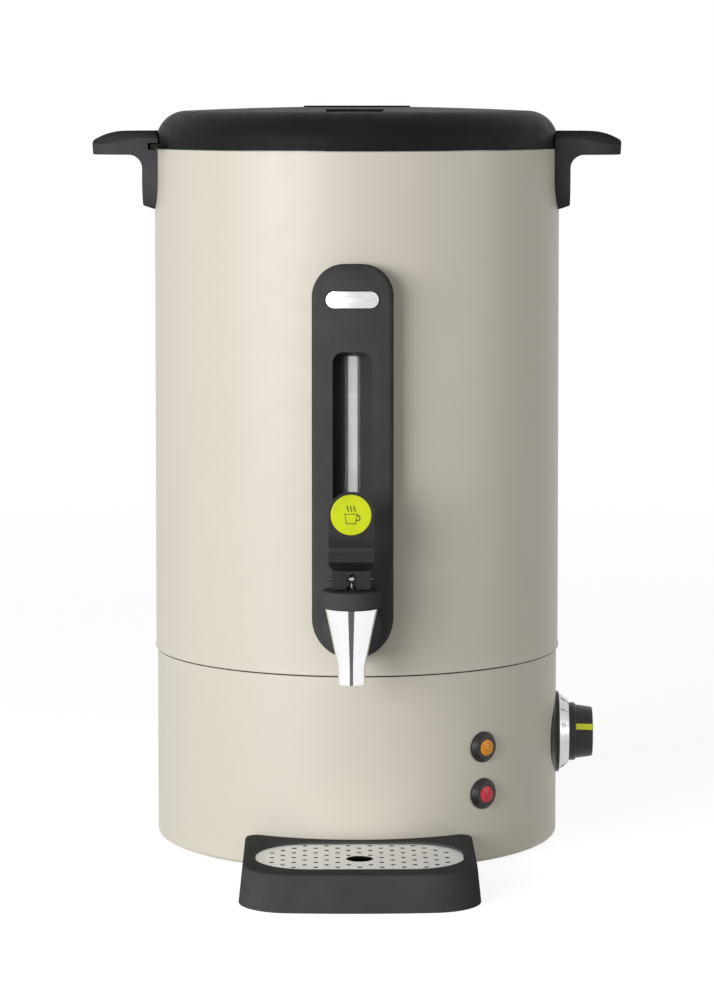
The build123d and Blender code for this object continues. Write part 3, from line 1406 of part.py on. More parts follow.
PIECES = {
    "outer_shell": outer_shell(),
    "base_skirt": base_skirt(),
    "joint_ring": joint_ring(),
    "tank": tank(),
    "heater_plate": heater_plate(),
    "heater_element": heater_element(),
    "heater_nut": heater_nut(),
    "base_plate": base_plate(),
    "rubber_feet": rubber_feet(),
    "tie_rods": tie_rods(),
    "base_fasteners": bundle([tie_nuts(), base_screws()]),
    "lid_cover": lid_cover(),
    "lid_liner": lid_liner(),
    "lid_seal": lid_seal(),
    "handle_right": handle(),
    "handle_left": Rot(0, 0, 180) * handle(),
    "front_panel": front_panel(),
    "badge_plate": badge(0),
    "jacket_screws": bundle([handle_screws(), panel_screws()]),
    "gauge_tube": gauge_tube(),
    "gauge_strip": gauge_strip(),
    "gauge_cap": gauge_cap(),
    "gauge_tee": gauge_tee(),
    "tap_body": tap_body(),
    "inlet_shank": inlet_shank(),
    "inlet_gaskets": inlet_gaskets(),
    "wall_spacer": wall_spacer(),
    "shank_nut": shank_nut(),
    "tap_bonnet": tap_bonnet(),
    "valve_stem": valve_stem(),
    "seat_cup": seat_cup(),
    "valve_spring": valve_spring(),
    "lever_pin": lever_pin(),
    "tap_lever": tap_lever(),
    "lever_disc": lever_disc(),
    "dial_flange": dial_flange(),
    "dial_ring": dial_ring(),
    "knob": knob(),
    "knob_pointer": knob_pointer(),
    "thermostat_shaft": thermostat_shaft(),
    "thermostat": thermostat(),
    "thermostat_bracket": thermostat_bracket(),
    "dial_screws": dial_screws(),
    "thermostat_bulb": thermostat_bulb(),
    "cutout_bulb": cutout_bulb(),
    "bulb_clips": bulb_clips(),
    "amber_bezel": lamp_bezel(AMBER_Z),
    "amber_lens": lamp_lens(AMBER_Z),
    "red_bezel": lamp_bezel(RED_Z),
    "red_lens": lamp_lens(RED_Z),
    "lamp_fittings": bundle([lamp_inserts(), lamp_nuts()]),
    "gland_body": gland_body(),
    "gland_fittings": bundle([gland_nut(), gland_locknut()]),
    "gland_seal": gland_seal(),
    "terminal_block": terminal_block(),
    "thermal_cutout": thermal_cutout(),
    "reset_button": reset_button(),
    "wiring": wiring(),
    "drip_tray": Rot(0, 0, TRAY_TURN) * drip_tray(),
    "drip_grille": Rot(0, 0, TRAY_TURN) * drip_grille(),
}

os.makedirs("parts", exist_ok=True)
for name, piece in PIECES.items():
    export_step(Pos(0, AXIS_Y, 0) * piece, f"parts/{name}.step")
print(len(PIECES), "pieces; urn axis at y =", AXIS_Y)
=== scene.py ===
# %% [markdown]
# # A hot beverage boiler
# This lesson dresses a finished CAD model: a tall round urn for hot drinks, with a tap at its front and a
# loose drip tray. The solids arrive as a fixed frame, and each one already has its place and the body that it
# moves with. Our work is light, finishes, and the small printed marks that are too thin to be worth a solid.
# Everything is in metres, with the tap towards -Y and the knob towards +X.

# %% Load the frame
import math

import bmesh
import bpy
from mathutils import Matrix, Vector


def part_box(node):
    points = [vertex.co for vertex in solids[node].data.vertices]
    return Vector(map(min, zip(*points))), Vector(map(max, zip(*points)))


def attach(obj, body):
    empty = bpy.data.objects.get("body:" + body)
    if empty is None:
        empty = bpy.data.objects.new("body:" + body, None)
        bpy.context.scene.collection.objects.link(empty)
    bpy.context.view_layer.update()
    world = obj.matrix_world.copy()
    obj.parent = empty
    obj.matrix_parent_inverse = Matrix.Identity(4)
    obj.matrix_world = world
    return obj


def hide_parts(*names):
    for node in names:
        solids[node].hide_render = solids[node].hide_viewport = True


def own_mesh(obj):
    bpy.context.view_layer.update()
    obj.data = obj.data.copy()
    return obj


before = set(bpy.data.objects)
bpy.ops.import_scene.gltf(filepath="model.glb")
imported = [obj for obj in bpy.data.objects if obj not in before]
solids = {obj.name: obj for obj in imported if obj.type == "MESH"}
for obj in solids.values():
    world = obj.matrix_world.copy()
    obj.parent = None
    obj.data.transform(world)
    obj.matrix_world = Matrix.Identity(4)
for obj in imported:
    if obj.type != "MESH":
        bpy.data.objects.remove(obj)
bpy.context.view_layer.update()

# %% [markdown]
# ## The camera
# The photograph was taken from far away with a long lens, a little above the lid, so the sides of the urn
# stay almost parallel. A long lens on a distant camera gives the same flat look. We could tilt the camera
# until the urn is in the middle, but then its sides would lean. A downward shift of the lens takes over part
# of the tilt and keeps them upright.

# %% Camera
URN_AXIS = Vector((0.0, 0.048, 0.0))
CAMERA_DISTANCE = 2.375
CAMERA_HEIGHT = 0.503
CAMERA_TURN = math.radians(1.1)
CAMERA_TILT = math.radians(3.4546)
CAMERA_LENS = 127.763
CAMERA_SHIFT = -0.2
SENSOR_WIDTH = 36.0

camera = bpy.data.objects.new("camera", bpy.data.cameras.new("camera"))
bpy.context.scene.collection.objects.link(camera)
camera.location = URN_AXIS + Vector(
    (
        CAMERA_DISTANCE * math.sin(CAMERA_TURN),
        -CAMERA_DISTANCE * math.cos(CAMERA_TURN),
        CAMERA_HEIGHT,
    )
)
camera.rotation_euler = (math.pi / 2 - CAMERA_TILT, 0.0, CAMERA_TURN)
camera.data.sensor_width = SENSOR_WIDTH
camera.data.lens = CAMERA_LENS
camera.data.shift_y = CAMERA_SHIFT
bpy.context.scene.camera = camera
bpy.context.scene.view_settings.view_transform = "Standard"
print("camera at", [round(x, 3) for x in camera.location])

# %% [markdown]
# ## Finishes made of nodes
# A finish is one Principled shader with a few texture nodes in front of it. Each could be wired up by hand in
# the shader editor. Two helpers keep it to a few lines instead: one makes the shader, and one adds a node and
# links it. Anything that is the same all over a surface is set on the shader itself.

# %% Shader and node helpers
def new_finish(name, colour, rough, metallic=0.0, **sockets):
    """A Principled material. Further sockets are named with underscores for spaces."""
    finish = bpy.data.materials.new(name)
    finish.use_nodes = True
    shader = finish.node_tree.nodes["Principled BSDF"]
    shader.inputs["Base Color"].default_value = (*colour, 1.0)
    shader.inputs["Roughness"].default_value = rough
    shader.inputs["Metallic"].default_value = metallic
    for socket, value in sockets.items():
        shader.inputs[socket.replace("_", " ")].default_value = value
    return finish


def add_node(finish, kind, links=(), **settings):
    """A new node, with its inputs linked or set by name."""
    node = finish.node_tree.nodes.new(kind)
    for name, value in settings.items():
        setattr(node, name, value)
    for socket, source in links:
        if isinstance(source, bpy.types.NodeSocket):
            finish.node_tree.links.new(source, node.inputs[socket])
        else:
            node.inputs[socket].default_value = source
    return node


print("shader and node helpers ready")

# %% [markdown]
# Grain needs a place to start from. We could unwrap every piece, but each solid sits at the origin, so its
# Object texture coordinate is simply the place in metres. That gives grain the same true size on every piece.
# A noise texture stretched along one axis turns clouds into scratches.

# %% Texture helpers
EVEN = (1, 1, 1)


def place(finish, stretch=EVEN):
    """The point on the piece in metres, stretched along the axes."""
    coordinates = add_node(finish, "ShaderNodeTexCoord")
    links = [("Vector", coordinates.outputs["Object"]), ("Scale", stretch)]
    return add_node(finish, "ShaderNodeMapping", links).outputs["Vector"]


def noise(finish, size, stretch=EVEN, detail=3.0):
    """Cloudy values from 0 to 1, with clouds of about that size in metres."""
    links = [("Vector", place(finish, stretch)), ("Scale", 1 / size), ("Detail", detail)]
    return add_node(finish, "ShaderNodeTexNoise", links).outputs["Fac"]


print("texture helpers ready")

# %% [markdown]
# Noise keeps close to its middle value, so the part between 0.3 and 0.7 is spread over the whole range before
# it steers gloss or colour. The same noise can also raise and lower the surface by a few micrometres, as a
# bump. Real relief that small would need millions of faces.

# %% Helpers for gloss, colour and relief
NOISE_LOW = 0.3
NOISE_HIGH = 0.7


def to_shader(finish, socket, source):
    shader = finish.node_tree.nodes["Principled BSDF"]
    finish.node_tree.links.new(source, shader.inputs[socket])


def vary_rough(finish, source, low, high):
    """Roughness from low to high."""
    span = [("From Min", NOISE_LOW), ("From Max", NOISE_HIGH), ("To Min", low), ("To Max", high)]
    spread = add_node(finish, "ShaderNodeMapRange", [("Value", source), *span])
    to_shader(finish, "Roughness", spread.outputs["Result"])


def vary_colour(finish, source, dark, light):
    """Colour from dark to light."""
    ramp = add_node(finish, "ShaderNodeValToRGB", [("Fac", source)])
    ramp.color_ramp.elements[0].position = NOISE_LOW
    ramp.color_ramp.elements[1].position = NOISE_HIGH
    ramp.color_ramp.elements[0].color = (*dark, 1.0)
    ramp.color_ramp.elements[1].color = (*light, 1.0)
    to_shader(finish, "Base Color", ramp.outputs["Color"])


def relief(finish, source, depth):
    """A bump of that depth in metres."""
    links = [("Height", source), ("Distance", depth), ("Strength", 1.0)]
    to_shader(finish, "Normal", add_node(finish, "ShaderNodeBump", links).outputs["Normal"])


def shades(colour, spread):
    """A darker and a lighter version of one colour."""
    dark = tuple(value * (1 - spread) for value in colour)
    light = tuple(min(1.0, value * (1 + spread)) for value in colour)
    return dark, light


def wear(solid_names, finish):
    """Put one finish on solids."""
    for name in solid_names:
        solid = solids[name]
        solid.data.materials.clear()
        solid.data.materials.append(finish)


print("helpers for gloss, colour and relief ready")

# %% [markdown]
# ## The painted jacket
# The jacket is sheet steel with a warm grey satin lacquer. Sprayed lacquer is never quite flat: it has a
# faint orange peel of a few millimetres and tiny changes of gloss. One flat colour would look like card, so
# three noises of different size give the tint, the gloss and the peel.

# %% Jacket lacquer
LACQUER = (0.74, 0.695, 0.585)
lacquer = new_finish("warm_grey_lacquer", LACQUER, rough=0.46, Specular_IOR_Level=0.6)
vary_colour(lacquer, noise(lacquer, size=0.06), *shades(LACQUER, spread=0.012))
vary_rough(lacquer, noise(lacquer, size=0.012), low=0.43, high=0.49)
relief(lacquer, noise(lacquer, size=0.0025), depth=0.000004)
wear(["outer_shell", "base_skirt"], lacquer)
print("lacquer on the jacket")

# %% [markdown]
# ## Black plastics
# Panel, handles, lever, knob and tray are moulded in black plastic with a fine spark-eroded grain. The big
# pieces are dead matt: a little gloss would mirror the white backdrop from every face that points up, and
# in the photograph just those faces are the darkest. Lever and knob have a slight sheen, and the lid is
# smoother and darker. Grain of under a millimetre breaks up what sheen there is, which tells plastic from
# paint.

# %% Black plastics
TINT_SIZE = 0.02
TINT_SPREAD = 0.10
SHEEN_SIZE = 0.008
SHEEN_BELOW = 0.05
SHEEN_ABOVE = 0.06
GRAIN_DETAIL = 2.0


def moulded(name, colour, rough, grain_size, grain_depth, gloss, metallic=0.0):
    """Moulded plastic, rubber or paint with a fine grain."""
    finish = new_finish(name, colour, rough, metallic, Specular_IOR_Level=gloss)
    vary_colour(finish, noise(finish, TINT_SIZE), *shades(colour, TINT_SPREAD))
    vary_rough(finish, noise(finish, SHEEN_SIZE), rough - SHEEN_BELOW, rough + SHEEN_ABOVE)
    relief(finish, noise(finish, grain_size, detail=GRAIN_DETAIL), grain_depth)
    return finish


panel_black = moulded(
    "panel_black", (0.078, 0.078, 0.079), rough=0.50, grain_size=0.0004, grain_depth=0.000012, gloss=0.0
)
lever_black = moulded(
    "lever_black", (0.016, 0.015, 0.015), rough=0.40, grain_size=0.0004, grain_depth=0.000008, gloss=0.35
)
lid_black = moulded(
    "lid_black", (0.009, 0.009, 0.009), rough=0.55, grain_size=0.0006, grain_depth=0.000010, gloss=0.10
)
inner_black = moulded(
    "inner_black", (0.012, 0.012, 0.012), rough=0.55, grain_size=0.0008, grain_depth=0.000015, gloss=0.3
)
wear(["handle_right", "handle_left", "front_panel", "tap_bonnet", "drip_tray"], panel_black)
wear(["tap_lever", "knob", "dial_flange", "amber_bezel", "red_bezel"], lever_black)
wear(["lid_cover"], lid_black)
wear(["gauge_cap", "gauge_tee", "wall_spacer", "gland_body", "gland_fittings", "joint_ring"], inner_black)
print("black plastics on handles, panel, lid, tap and tray")

# %% [markdown]
# ## Metals
# Tank, badge plate, screws and rods are drawn, rolled or plated. What tells such a metal from chrome is its
# long thin scratches: noise stretched about eighty times along one axis, used for colour, gloss and relief
# alike. Where the scratches have no direction, the noise stays even.

# %% Brushed metals
ALONG_X = (0.012, 1, 1)
ALONG_Z = (1, 1, 0.012)
SCRATCH_SIZE = 0.0006
SCRATCH_DETAIL = 4.0
SCRATCH_SPREAD = 0.06
SCRATCH_BELOW = 0.07
SCRATCH_ABOVE = 0.09


def brushed(name, colour, rough, along, depth=0.000006):
    """Metal with scratches along one axis."""
    finish = new_finish(name, colour, rough, metallic=1.0)
    scratches = noise(finish, SCRATCH_SIZE, along, detail=SCRATCH_DETAIL)
    vary_colour(finish, scratches, *shades(colour, SCRATCH_SPREAD))
    vary_rough(finish, scratches, rough - SCRATCH_BELOW, rough + SCRATCH_ABOVE)
    relief(finish, scratches, depth)
    return finish


tank_steel = brushed("tank_steel", (0.62, 0.61, 0.60), rough=0.32, along=ALONG_Z)
badge_steel = brushed("badge_steel", (0.70, 0.70, 0.70), rough=0.32, along=ALONG_X)
zinc = brushed("zinc_plate", (0.55, 0.55, 0.56), rough=0.36, along=EVEN)
cast = brushed("cast_aluminium", (0.70, 0.70, 0.71), rough=0.45, along=EVEN, depth=0.00002)
copper = brushed("drawn_copper", (0.72, 0.36, 0.20), rough=0.30, along=ALONG_X)
blackened = brushed("blackened_steel", (0.12, 0.12, 0.12), rough=0.34, along=ALONG_X)
wear(["tank", "lid_liner"], tank_steel)
wear(["badge_plate"], badge_steel)
wear(["heater_element", "heater_nut", "base_plate", "tie_rods", "base_fasteners"], zinc)
wear(["jacket_screws", "shank_nut", "valve_stem", "valve_spring"], zinc)
wear(["thermostat_shaft", "thermostat_bracket", "dial_screws", "bulb_clips"], zinc)
wear(["lever_pin"], blackened)
wear(["heater_plate"], cast)
wear(["thermostat_bulb", "cutout_bulb"], copper)
print("brushed and plated metals on badge, pin, tank and inner pieces")

# %% [markdown]
# The tray's grille is blasted sheet. Its flat faces are pale. The hole walls and the sheet's rim face
# sideways and get a painted shade in their colour, which is what makes the rows of holes stand out. A second
# material could be put on the edges by hand. Here the colour is chosen by how upright the face is, so every
# hole gets its painted shade at once.

# %% Grille sheet
GRILLE_STEEL = (0.93, 0.93, 0.93)
# painted shade: upright faces, the hole walls and the sheet's rim, take this dark colour
PAINTED_EDGE_SHADE = (0.02, 0.02, 0.02)
blasted = new_finish("blasted_steel", GRILLE_STEEL, rough=0.50, metallic=0.45)
facing = add_node(blasted, "ShaderNodeNewGeometry").outputs["True Normal"]
upright = add_node(blasted, "ShaderNodeSeparateXYZ", [("Vector", facing)]).outputs["Z"]
flat_share = add_node(blasted, "ShaderNodeMath", [(0, upright)], operation="ABSOLUTE").outputs[0]
# painted shade by facing: upright faces get the dark colour, flat faces the steel's
vary_colour(blasted, flat_share, PAINTED_EDGE_SHADE, GRILLE_STEEL)
vary_rough(blasted, noise(blasted, size=0.006), low=0.44, high=0.56)
relief(blasted, noise(blasted, size=0.0004), depth=0.000010)
wear(["drip_grille"], blasted)
print("blasted sheet on the grille")

# %% [markdown]
# The tap is chromed brass, almost a mirror. A perfect mirror looks like a computer's, so the gloss has the
# faintest smears and the surface a slow wave of a few micrometres.

# %% Tap chrome
chrome = new_finish("tap_chrome", (0.89, 0.89, 0.90), rough=0.05, metallic=1.0)
vary_rough(chrome, noise(chrome, size=0.010), low=0.04, high=0.09)
relief(chrome, noise(chrome, size=0.006), depth=0.000004)
wear(["tap_body", "inlet_shank"], chrome)
print("chrome on the tap")

# %% [markdown]
# ## Glass and lenses
# The level tube is clear glass with a real index of refraction. On its own it would darken the strip behind
# it, because few light paths find a lamp through its curved surfaces. So it is mixed with plain
# transparency.

# %% Gauge glass
glass = new_finish(
    "gauge_glass", (0.96, 0.98, 0.97), rough=0.03, Transmission_Weight=1.0, IOR=1.47, Alpha=0.1
)
vary_rough(glass, noise(glass, size=0.01), low=0.02, high=0.05)
wear(["gauge_tube"], glass)
print("glass on the gauge's tube")

# %% [markdown]
# The lamp lenses are tinted clear plastic that gathers light and gives it back from inside. Real refraction
# in so small a piece would only be noise. Subsurface scattering and a very weak glow imitate it, and the
# small facets of the lens are the cells of a Voronoi texture.

# %% Lamp lenses
LENS_GLOW = 0.12
LENS_FACET = 0.0011
LENS_FACET_DEPTH = 0.0001
LENS_SPREAD = 0.25


def lens_plastic(name, colour):
    """Clear tinted plastic with facets."""
    finish = new_finish(
        name,
        colour,
        rough=0.12,
        Subsurface_Weight=0.4,
        Subsurface_Scale=0.003,
        Subsurface_Radius=colour,
        Specular_IOR_Level=0.2,
        Emission_Color=(*colour, 1.0),
        Emission_Strength=LENS_GLOW,
    )
    facet_links = [("Vector", place(finish)), ("Scale", 1 / LENS_FACET)]
    facets = add_node(finish, "ShaderNodeTexVoronoi", facet_links).outputs["Distance"]
    vary_colour(finish, facets, *shades(colour, LENS_SPREAD))
    relief(finish, facets, LENS_FACET_DEPTH)
    return finish


wear(["amber_lens"], lens_plastic("amber_lens", (0.82, 0.30, 0.012)))
wear(["red_lens"], lens_plastic("red_lens", (0.66, 0.040, 0.055)))
print("tinted plastic on the lamp lenses")

# %% [markdown]
# ## Small coloured pieces
# The disc on the lever is lime plastic and the knob's pointer a paler lime paint. The dial's ring is silver
# lacquer and the gauge's strip white enamel. All of them are smooth and have only the finest grain, so the
# helper for moulded pieces serves for them too.

# %% Lime, silver and white
lime = moulded(
    "lime_plastic", (0.72, 0.82, 0.006), rough=0.38, grain_size=0.0005, grain_depth=0.000006, gloss=0.4
)
pale_lime = moulded(
    "pale_lime_paint", (0.90, 0.95, 0.045), rough=0.45, grain_size=0.0005, grain_depth=0.000006, gloss=0.4
)
silver = moulded(
    "dial_silver",
    (0.90, 0.90, 0.91),
    rough=0.34,
    grain_size=0.0004,
    grain_depth=0.000006,
    gloss=0.6,
    metallic=0.4,
)
white = moulded(
    "white_plastic", (0.84, 0.84, 0.83), rough=0.45, grain_size=0.0006, grain_depth=0.000008, gloss=0.5
)
enamel = moulded(
    "strip_enamel", (0.87, 0.87, 0.87), rough=0.35, grain_size=0.0006, grain_depth=0.000004, gloss=0.5
)
wear(["lever_disc"], lime)
wear(["knob_pointer"], pale_lime)
wear(["dial_ring"], silver)
wear(["lamp_fittings", "reset_button"], white)
wear(["gauge_strip"], enamel)
print("lime on disc and pointer, silver on the dial, white on the strip")

# %% [markdown]
# Seals, feet, switches and leads are out of sight until the lid is off or the urn is turned over. They get
# true finishes all the same, because the model can be opened: silicone, rubber, unglazed ceramic and the
# coloured jacket of a lead.

# %% Seals, feet and electrics
silicone = moulded(
    "white_silicone", (0.66, 0.66, 0.63), rough=0.50, grain_size=0.0009, grain_depth=0.00001, gloss=0.4
)
rubber = moulded(
    "black_rubber", (0.018, 0.018, 0.018), rough=0.70, grain_size=0.0007, grain_depth=0.00003, gloss=0.3
)
steatite = moulded(
    "steatite", (0.70, 0.68, 0.63), rough=0.70, grain_size=0.0008, grain_depth=0.00002, gloss=0.3
)
jacket_red = moulded(
    "lead_jacket", (0.30, 0.035, 0.03), rough=0.55, grain_size=0.0008, grain_depth=0.00001, gloss=0.4
)
wear(["lid_seal", "inlet_gaskets", "seat_cup"], silicone)
wear(["rubber_feet", "gland_seal"], rubber)
wear(["thermostat", "terminal_block", "thermal_cutout"], steatite)
wear(["wiring"], jacket_red)
bare = [name for name in solids if not solids[name].data.materials]
print("solids without a finish:", bare)

# %% [markdown]
# ## Light and stage
# The photograph has plain studio light. A large soft lamp at the left gives the jacket its slow fall from
# light to dark, and a weak one at the right keeps the shadow side open. Both stand low, so that faces that
# point up stay dark. Point lamps would be simpler, but they draw hard shadows.

# %% Lamps
BODY_MIDDLE = (0.0, 0.048, 0.25)


def soft_lamp(name, place_at, width, height, watts):
    """A rectangle of light that faces the middle of the body."""
    lamp = bpy.data.objects.new(name, bpy.data.lights.new(name, "AREA"))
    bpy.context.scene.collection.objects.link(lamp)
    lamp.data.shape = "RECTANGLE"
    lamp.data.size = width
    lamp.data.size_y = height
    lamp.data.energy = watts
    lamp.location = place_at
    lamp.rotation_euler = (Vector(BODY_MIDDLE) - Vector(place_at)).to_track_quat("-Z", "Y").to_euler()


soft_lamp("lamp_left", (-1.45, -1.80, 0.55), width=1.7, height=1.0, watts=44.0)
soft_lamp("lamp_right", (2.20, -0.75, 0.50), width=0.8, height=0.9, watts=9.0)
print("lamps at the left and at the right")

# %% [markdown]
# The backdrop looks white but should hardly light the urn, or its shadows would be washed out. The Light Path
# node tells the rays apart. Rays from the camera, and those that a mirror or clear glass passes on, see plain
# white. All others get a weak ambient light.

# %% Backdrop
BACKDROP_WHITE = (1.0, 1.0, 1.0, 1.0)
SKY_LIGHT_STRENGTH = 0.15


def seen_rays(tree):
    """1 for rays that show a surface to the camera, straight or by mirror or glass, else 0."""
    rays = tree.nodes.new("ShaderNodeLightPath").outputs
    seen = rays["Is Camera Ray"]
    for further in ("Is Glossy Ray", "Is Transmission Ray"):
        either = tree.nodes.new("ShaderNodeMath")
        either.operation = "MAXIMUM"
        tree.links.new(seen, either.inputs[0])
        tree.links.new(rays[further], either.inputs[1])
        seen = either.outputs[0]
    return seen


world = bpy.data.worlds.new("backdrop")
bpy.context.scene.world = world
world.use_nodes = True
sky = world.node_tree
ambient = sky.nodes["Background"]
ambient.inputs["Color"].default_value = BACKDROP_WHITE
ambient.inputs["Strength"].default_value = SKY_LIGHT_STRENGTH
plain_white = sky.nodes.new("ShaderNodeBackground")
plain_white.inputs["Color"].default_value = BACKDROP_WHITE
choose = sky.nodes.new("ShaderNodeMixShader")
sky.links.new(seen_rays(sky), choose.inputs["Fac"])
sky.links.new(ambient.outputs[0], choose.inputs[1])
sky.links.new(plain_white.outputs[0], choose.inputs[2])
sky.links.new(choose.outputs[0], sky.nodes["World Output"].inputs["Surface"])
print("backdrop looks white and lights with strength", SKY_LIGHT_STRENGTH)

# %% [markdown]
# The urn stands on a plain pale floor, which shows no edge in the photograph. A huge plane would still meet
# the backdrop in a line. Ours is a disc that turns transparent well before its rim. It glows a little for the
# same rays as the backdrop, which makes it almost white and leaves the urn's soft shadow on it.

# %% Floor
FLOOR_R = 2.6
FLOOR_SIDES = 96
FADE_START = 0.5
FADE_END = 2.2
FLOOR_SHADE = (0.50, 0.50, 0.50)
FLOOR_GLOW = 0.85
form = bmesh.new()
bmesh.ops.create_circle(form, cap_ends=True, segments=FLOOR_SIDES, radius=FLOOR_R)
floor_mesh = bpy.data.meshes.new("floor")
form.to_mesh(floor_mesh)
form.free()
floor = bpy.data.objects.new("floor", floor_mesh)
bpy.context.scene.collection.objects.link(floor)
floor_finish = new_finish(
    "floor_white", FLOOR_SHADE, rough=0.9, Specular_IOR_Level=0.0, Emission_Color=BACKDROP_WHITE
)
glow_links = [(0, seen_rays(floor_finish.node_tree)), (1, FLOOR_GLOW)]
glow = add_node(floor_finish, "ShaderNodeMath", glow_links, operation="MULTIPLY")
to_shader(floor_finish, "Emission Strength", glow.outputs[0])
distance = add_node(floor_finish, "ShaderNodeVectorMath", [(0, place(floor_finish))], operation="LENGTH")
fade_links = [
    ("Value", distance.outputs["Value"]),
    ("From Min", FADE_START),
    ("From Max", FADE_END),
    ("To Min", 1.0),
    ("To Max", 0.0),
]
fade = add_node(floor_finish, "ShaderNodeMapRange", fade_links, interpolation_type="SMOOTHSTEP")
to_shader(floor_finish, "Alpha", fade.outputs["Result"])
floor_mesh.materials.append(floor_finish)
print("floor fades out from", FADE_START, "to", FADE_END, "m")

# %% [markdown]
# Chrome is only as good as what it mirrors. With nothing but white around it the spout would look like
# porcelain, so photographers lay a dark card in front of such a piece. Ours is a narrow fan on the floor
# that only mirror rays can see: it throws no shadow and takes no light away.

# %% Dark card
CARD_SHADE = (0.32, 0.32, 0.32)
CARD_POINT = -0.13
CARD_NEAR = -0.33
CARD_FAR = -1.40
CARD_SPREAD_SHARE = 0.26
CARD_LIFT = 0.002
form = bmesh.new()
corners = []
for reach, side in ((CARD_NEAR, -1), (CARD_NEAR, 1), (CARD_FAR, 1), (CARD_FAR, -1)):
    half = CARD_SPREAD_SHARE * (CARD_POINT - reach)
    corners.append(form.verts.new((side * half, reach, CARD_LIFT)))
form.faces.new(corners)
card_mesh = bpy.data.meshes.new("black_card")
form.to_mesh(card_mesh)
form.free()
card = bpy.data.objects.new("black_card", card_mesh)
bpy.context.scene.collection.objects.link(card)
card_mesh.materials.append(new_finish("card_black", CARD_SHADE, rough=0.9, Specular_IOR_Level=0.0))
card.visible_camera = False
card.visible_diffuse = False
card.visible_transmission = False
card.visible_shadow = False
print("dark card from", CARD_NEAR, "to", CARD_FAR, "m")

# %% [markdown]
# ## Printed marks
# The level marks, the dial's scale and the picture of a cup are printed on the real object. A print that is
# only in a material would vanish from the exported mesh, so each mark is a thin raised strip, sunk a little
# into what carries it. They are drawn as flat outlines and given a thickness.

# %% Mark helpers
MM = 0.001
MARK_PROUD = 0.12 * MM
MARK_SINK = 0.10 * MM


def mesh_piece(name, form, finish, body):
    """Turn a bmesh into a piece that rides on a body."""
    bmesh.ops.recalc_face_normals(form, faces=form.faces)
    mesh = bpy.data.meshes.new(name)
    form.to_mesh(mesh)
    form.free()
    piece = bpy.data.objects.new(name, mesh)
    bpy.context.scene.collection.objects.link(piece)
    mesh.materials.append(finish)
    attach(piece, body)
    return piece


def add_bar(form, corners, depth):
    """A flat bar: its corners in order, pushed out by a vector."""
    low = [form.verts.new(corner) for corner in corners]
    high = [form.verts.new(Vector(corner) + Vector(depth)) for corner in corners]
    form.faces.new(low)
    form.faces.new(list(reversed(high)))
    count = len(corners)
    for i in range(count):
        j = (i + 1) % count
        form.faces.new((low[i], high[i], high[j], low[j]))


mark_white = moulded(
    "mark_white", (1.0, 1.0, 1.0), rough=0.5, grain_size=0.0006, grain_depth=0.000004, gloss=0.5
)
mark_black = moulded(
    "mark_black", (0.012, 0.012, 0.012), rough=0.5, grain_size=0.0006, grain_depth=0.000004, gloss=0.3
)
print("marks stand", MARK_PROUD, "m proud")

# %% [markdown]
# The strip behind the glass tube has five level marks, a little whiter than itself. They are bars across its
# whole width, so the strip's own box gives their ends and only the heights are ours.

# %% Level marks
MARK_HEIGHTS = (322.3 * MM, 307.5 * MM, 292.7 * MM, 278.3 * MM, 263.3 * MM)
MARK_TALL = 1.1 * MM
strip_low, strip_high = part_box("gauge_strip")
front = strip_low.y - MARK_PROUD
form = bmesh.new()
for height in MARK_HEIGHTS:
    bottom = height - MARK_TALL / 2
    top = bottom + MARK_TALL
    corners = [
        (strip_low.x, front, bottom),
        (strip_high.x, front, bottom),
        (strip_high.x, front, top),
        (strip_low.x, front, top),
    ]
    add_bar(form, corners, (0, MARK_PROUD + MARK_SINK, 0))
mesh_piece("gauge_marks", form, mark_white, "boiler")
print("level marks", len(MARK_HEIGHTS), "on the strip from", strip_low, "to", strip_high)

# %% [markdown]
# The lime disc carries the sign of a cup with steam. A sign like this is a handful of even lines. Bevelled
# curves would make them round like wire, so a helper turns any row of points into a flat ribbon instead.

# %% Ribbon helper
def add_ribbon(form, points, width, origin, right, up, closed=False):
    """A raised line of even width through points on a plane, sunk a little into it."""
    out = right.cross(up)
    count = len(points)
    ring = []
    for i, point in enumerate(points):
        before = points[i - 1] if closed or i > 0 else point
        after = points[(i + 1) % count] if closed or i < count - 1 else point
        along = (after - before).normalized()
        across = Vector((-along.y, along.x)) * width / 2
        spots = []
        for side in (point + across, point - across):
            flat = origin + right * side.x + up * side.y
            spots += [form.verts.new(flat + out * MARK_PROUD), form.verts.new(flat - out * MARK_SINK)]
        ring.append(spots)
    last = count if closed else count - 1
    for i in range(last):
        high_a, low_a, high_b, low_b = ring[i]
        next_high_a, next_low_a, next_high_b, next_low_b = ring[(i + 1) % count]
        form.faces.new((high_a, next_high_a, next_high_b, high_b))
        form.faces.new((low_a, low_b, next_low_b, next_low_a))
        form.faces.new((high_a, low_a, next_low_a, next_high_a))
        form.faces.new((high_b, next_high_b, next_low_b, low_b))
    if not closed:
        for high_a, low_a, high_b, low_b in (ring[0], ring[-1]):
            form.faces.new((high_a, high_b, low_b, low_a))


print("ribbon helper ready")

# %% [markdown]
# Now the rows themselves, measured from the middle of the disc's face: the cup is four corners, its handle an
# arc that starts and ends inside the cup's side, and each wisp of steam one turn of a sine.

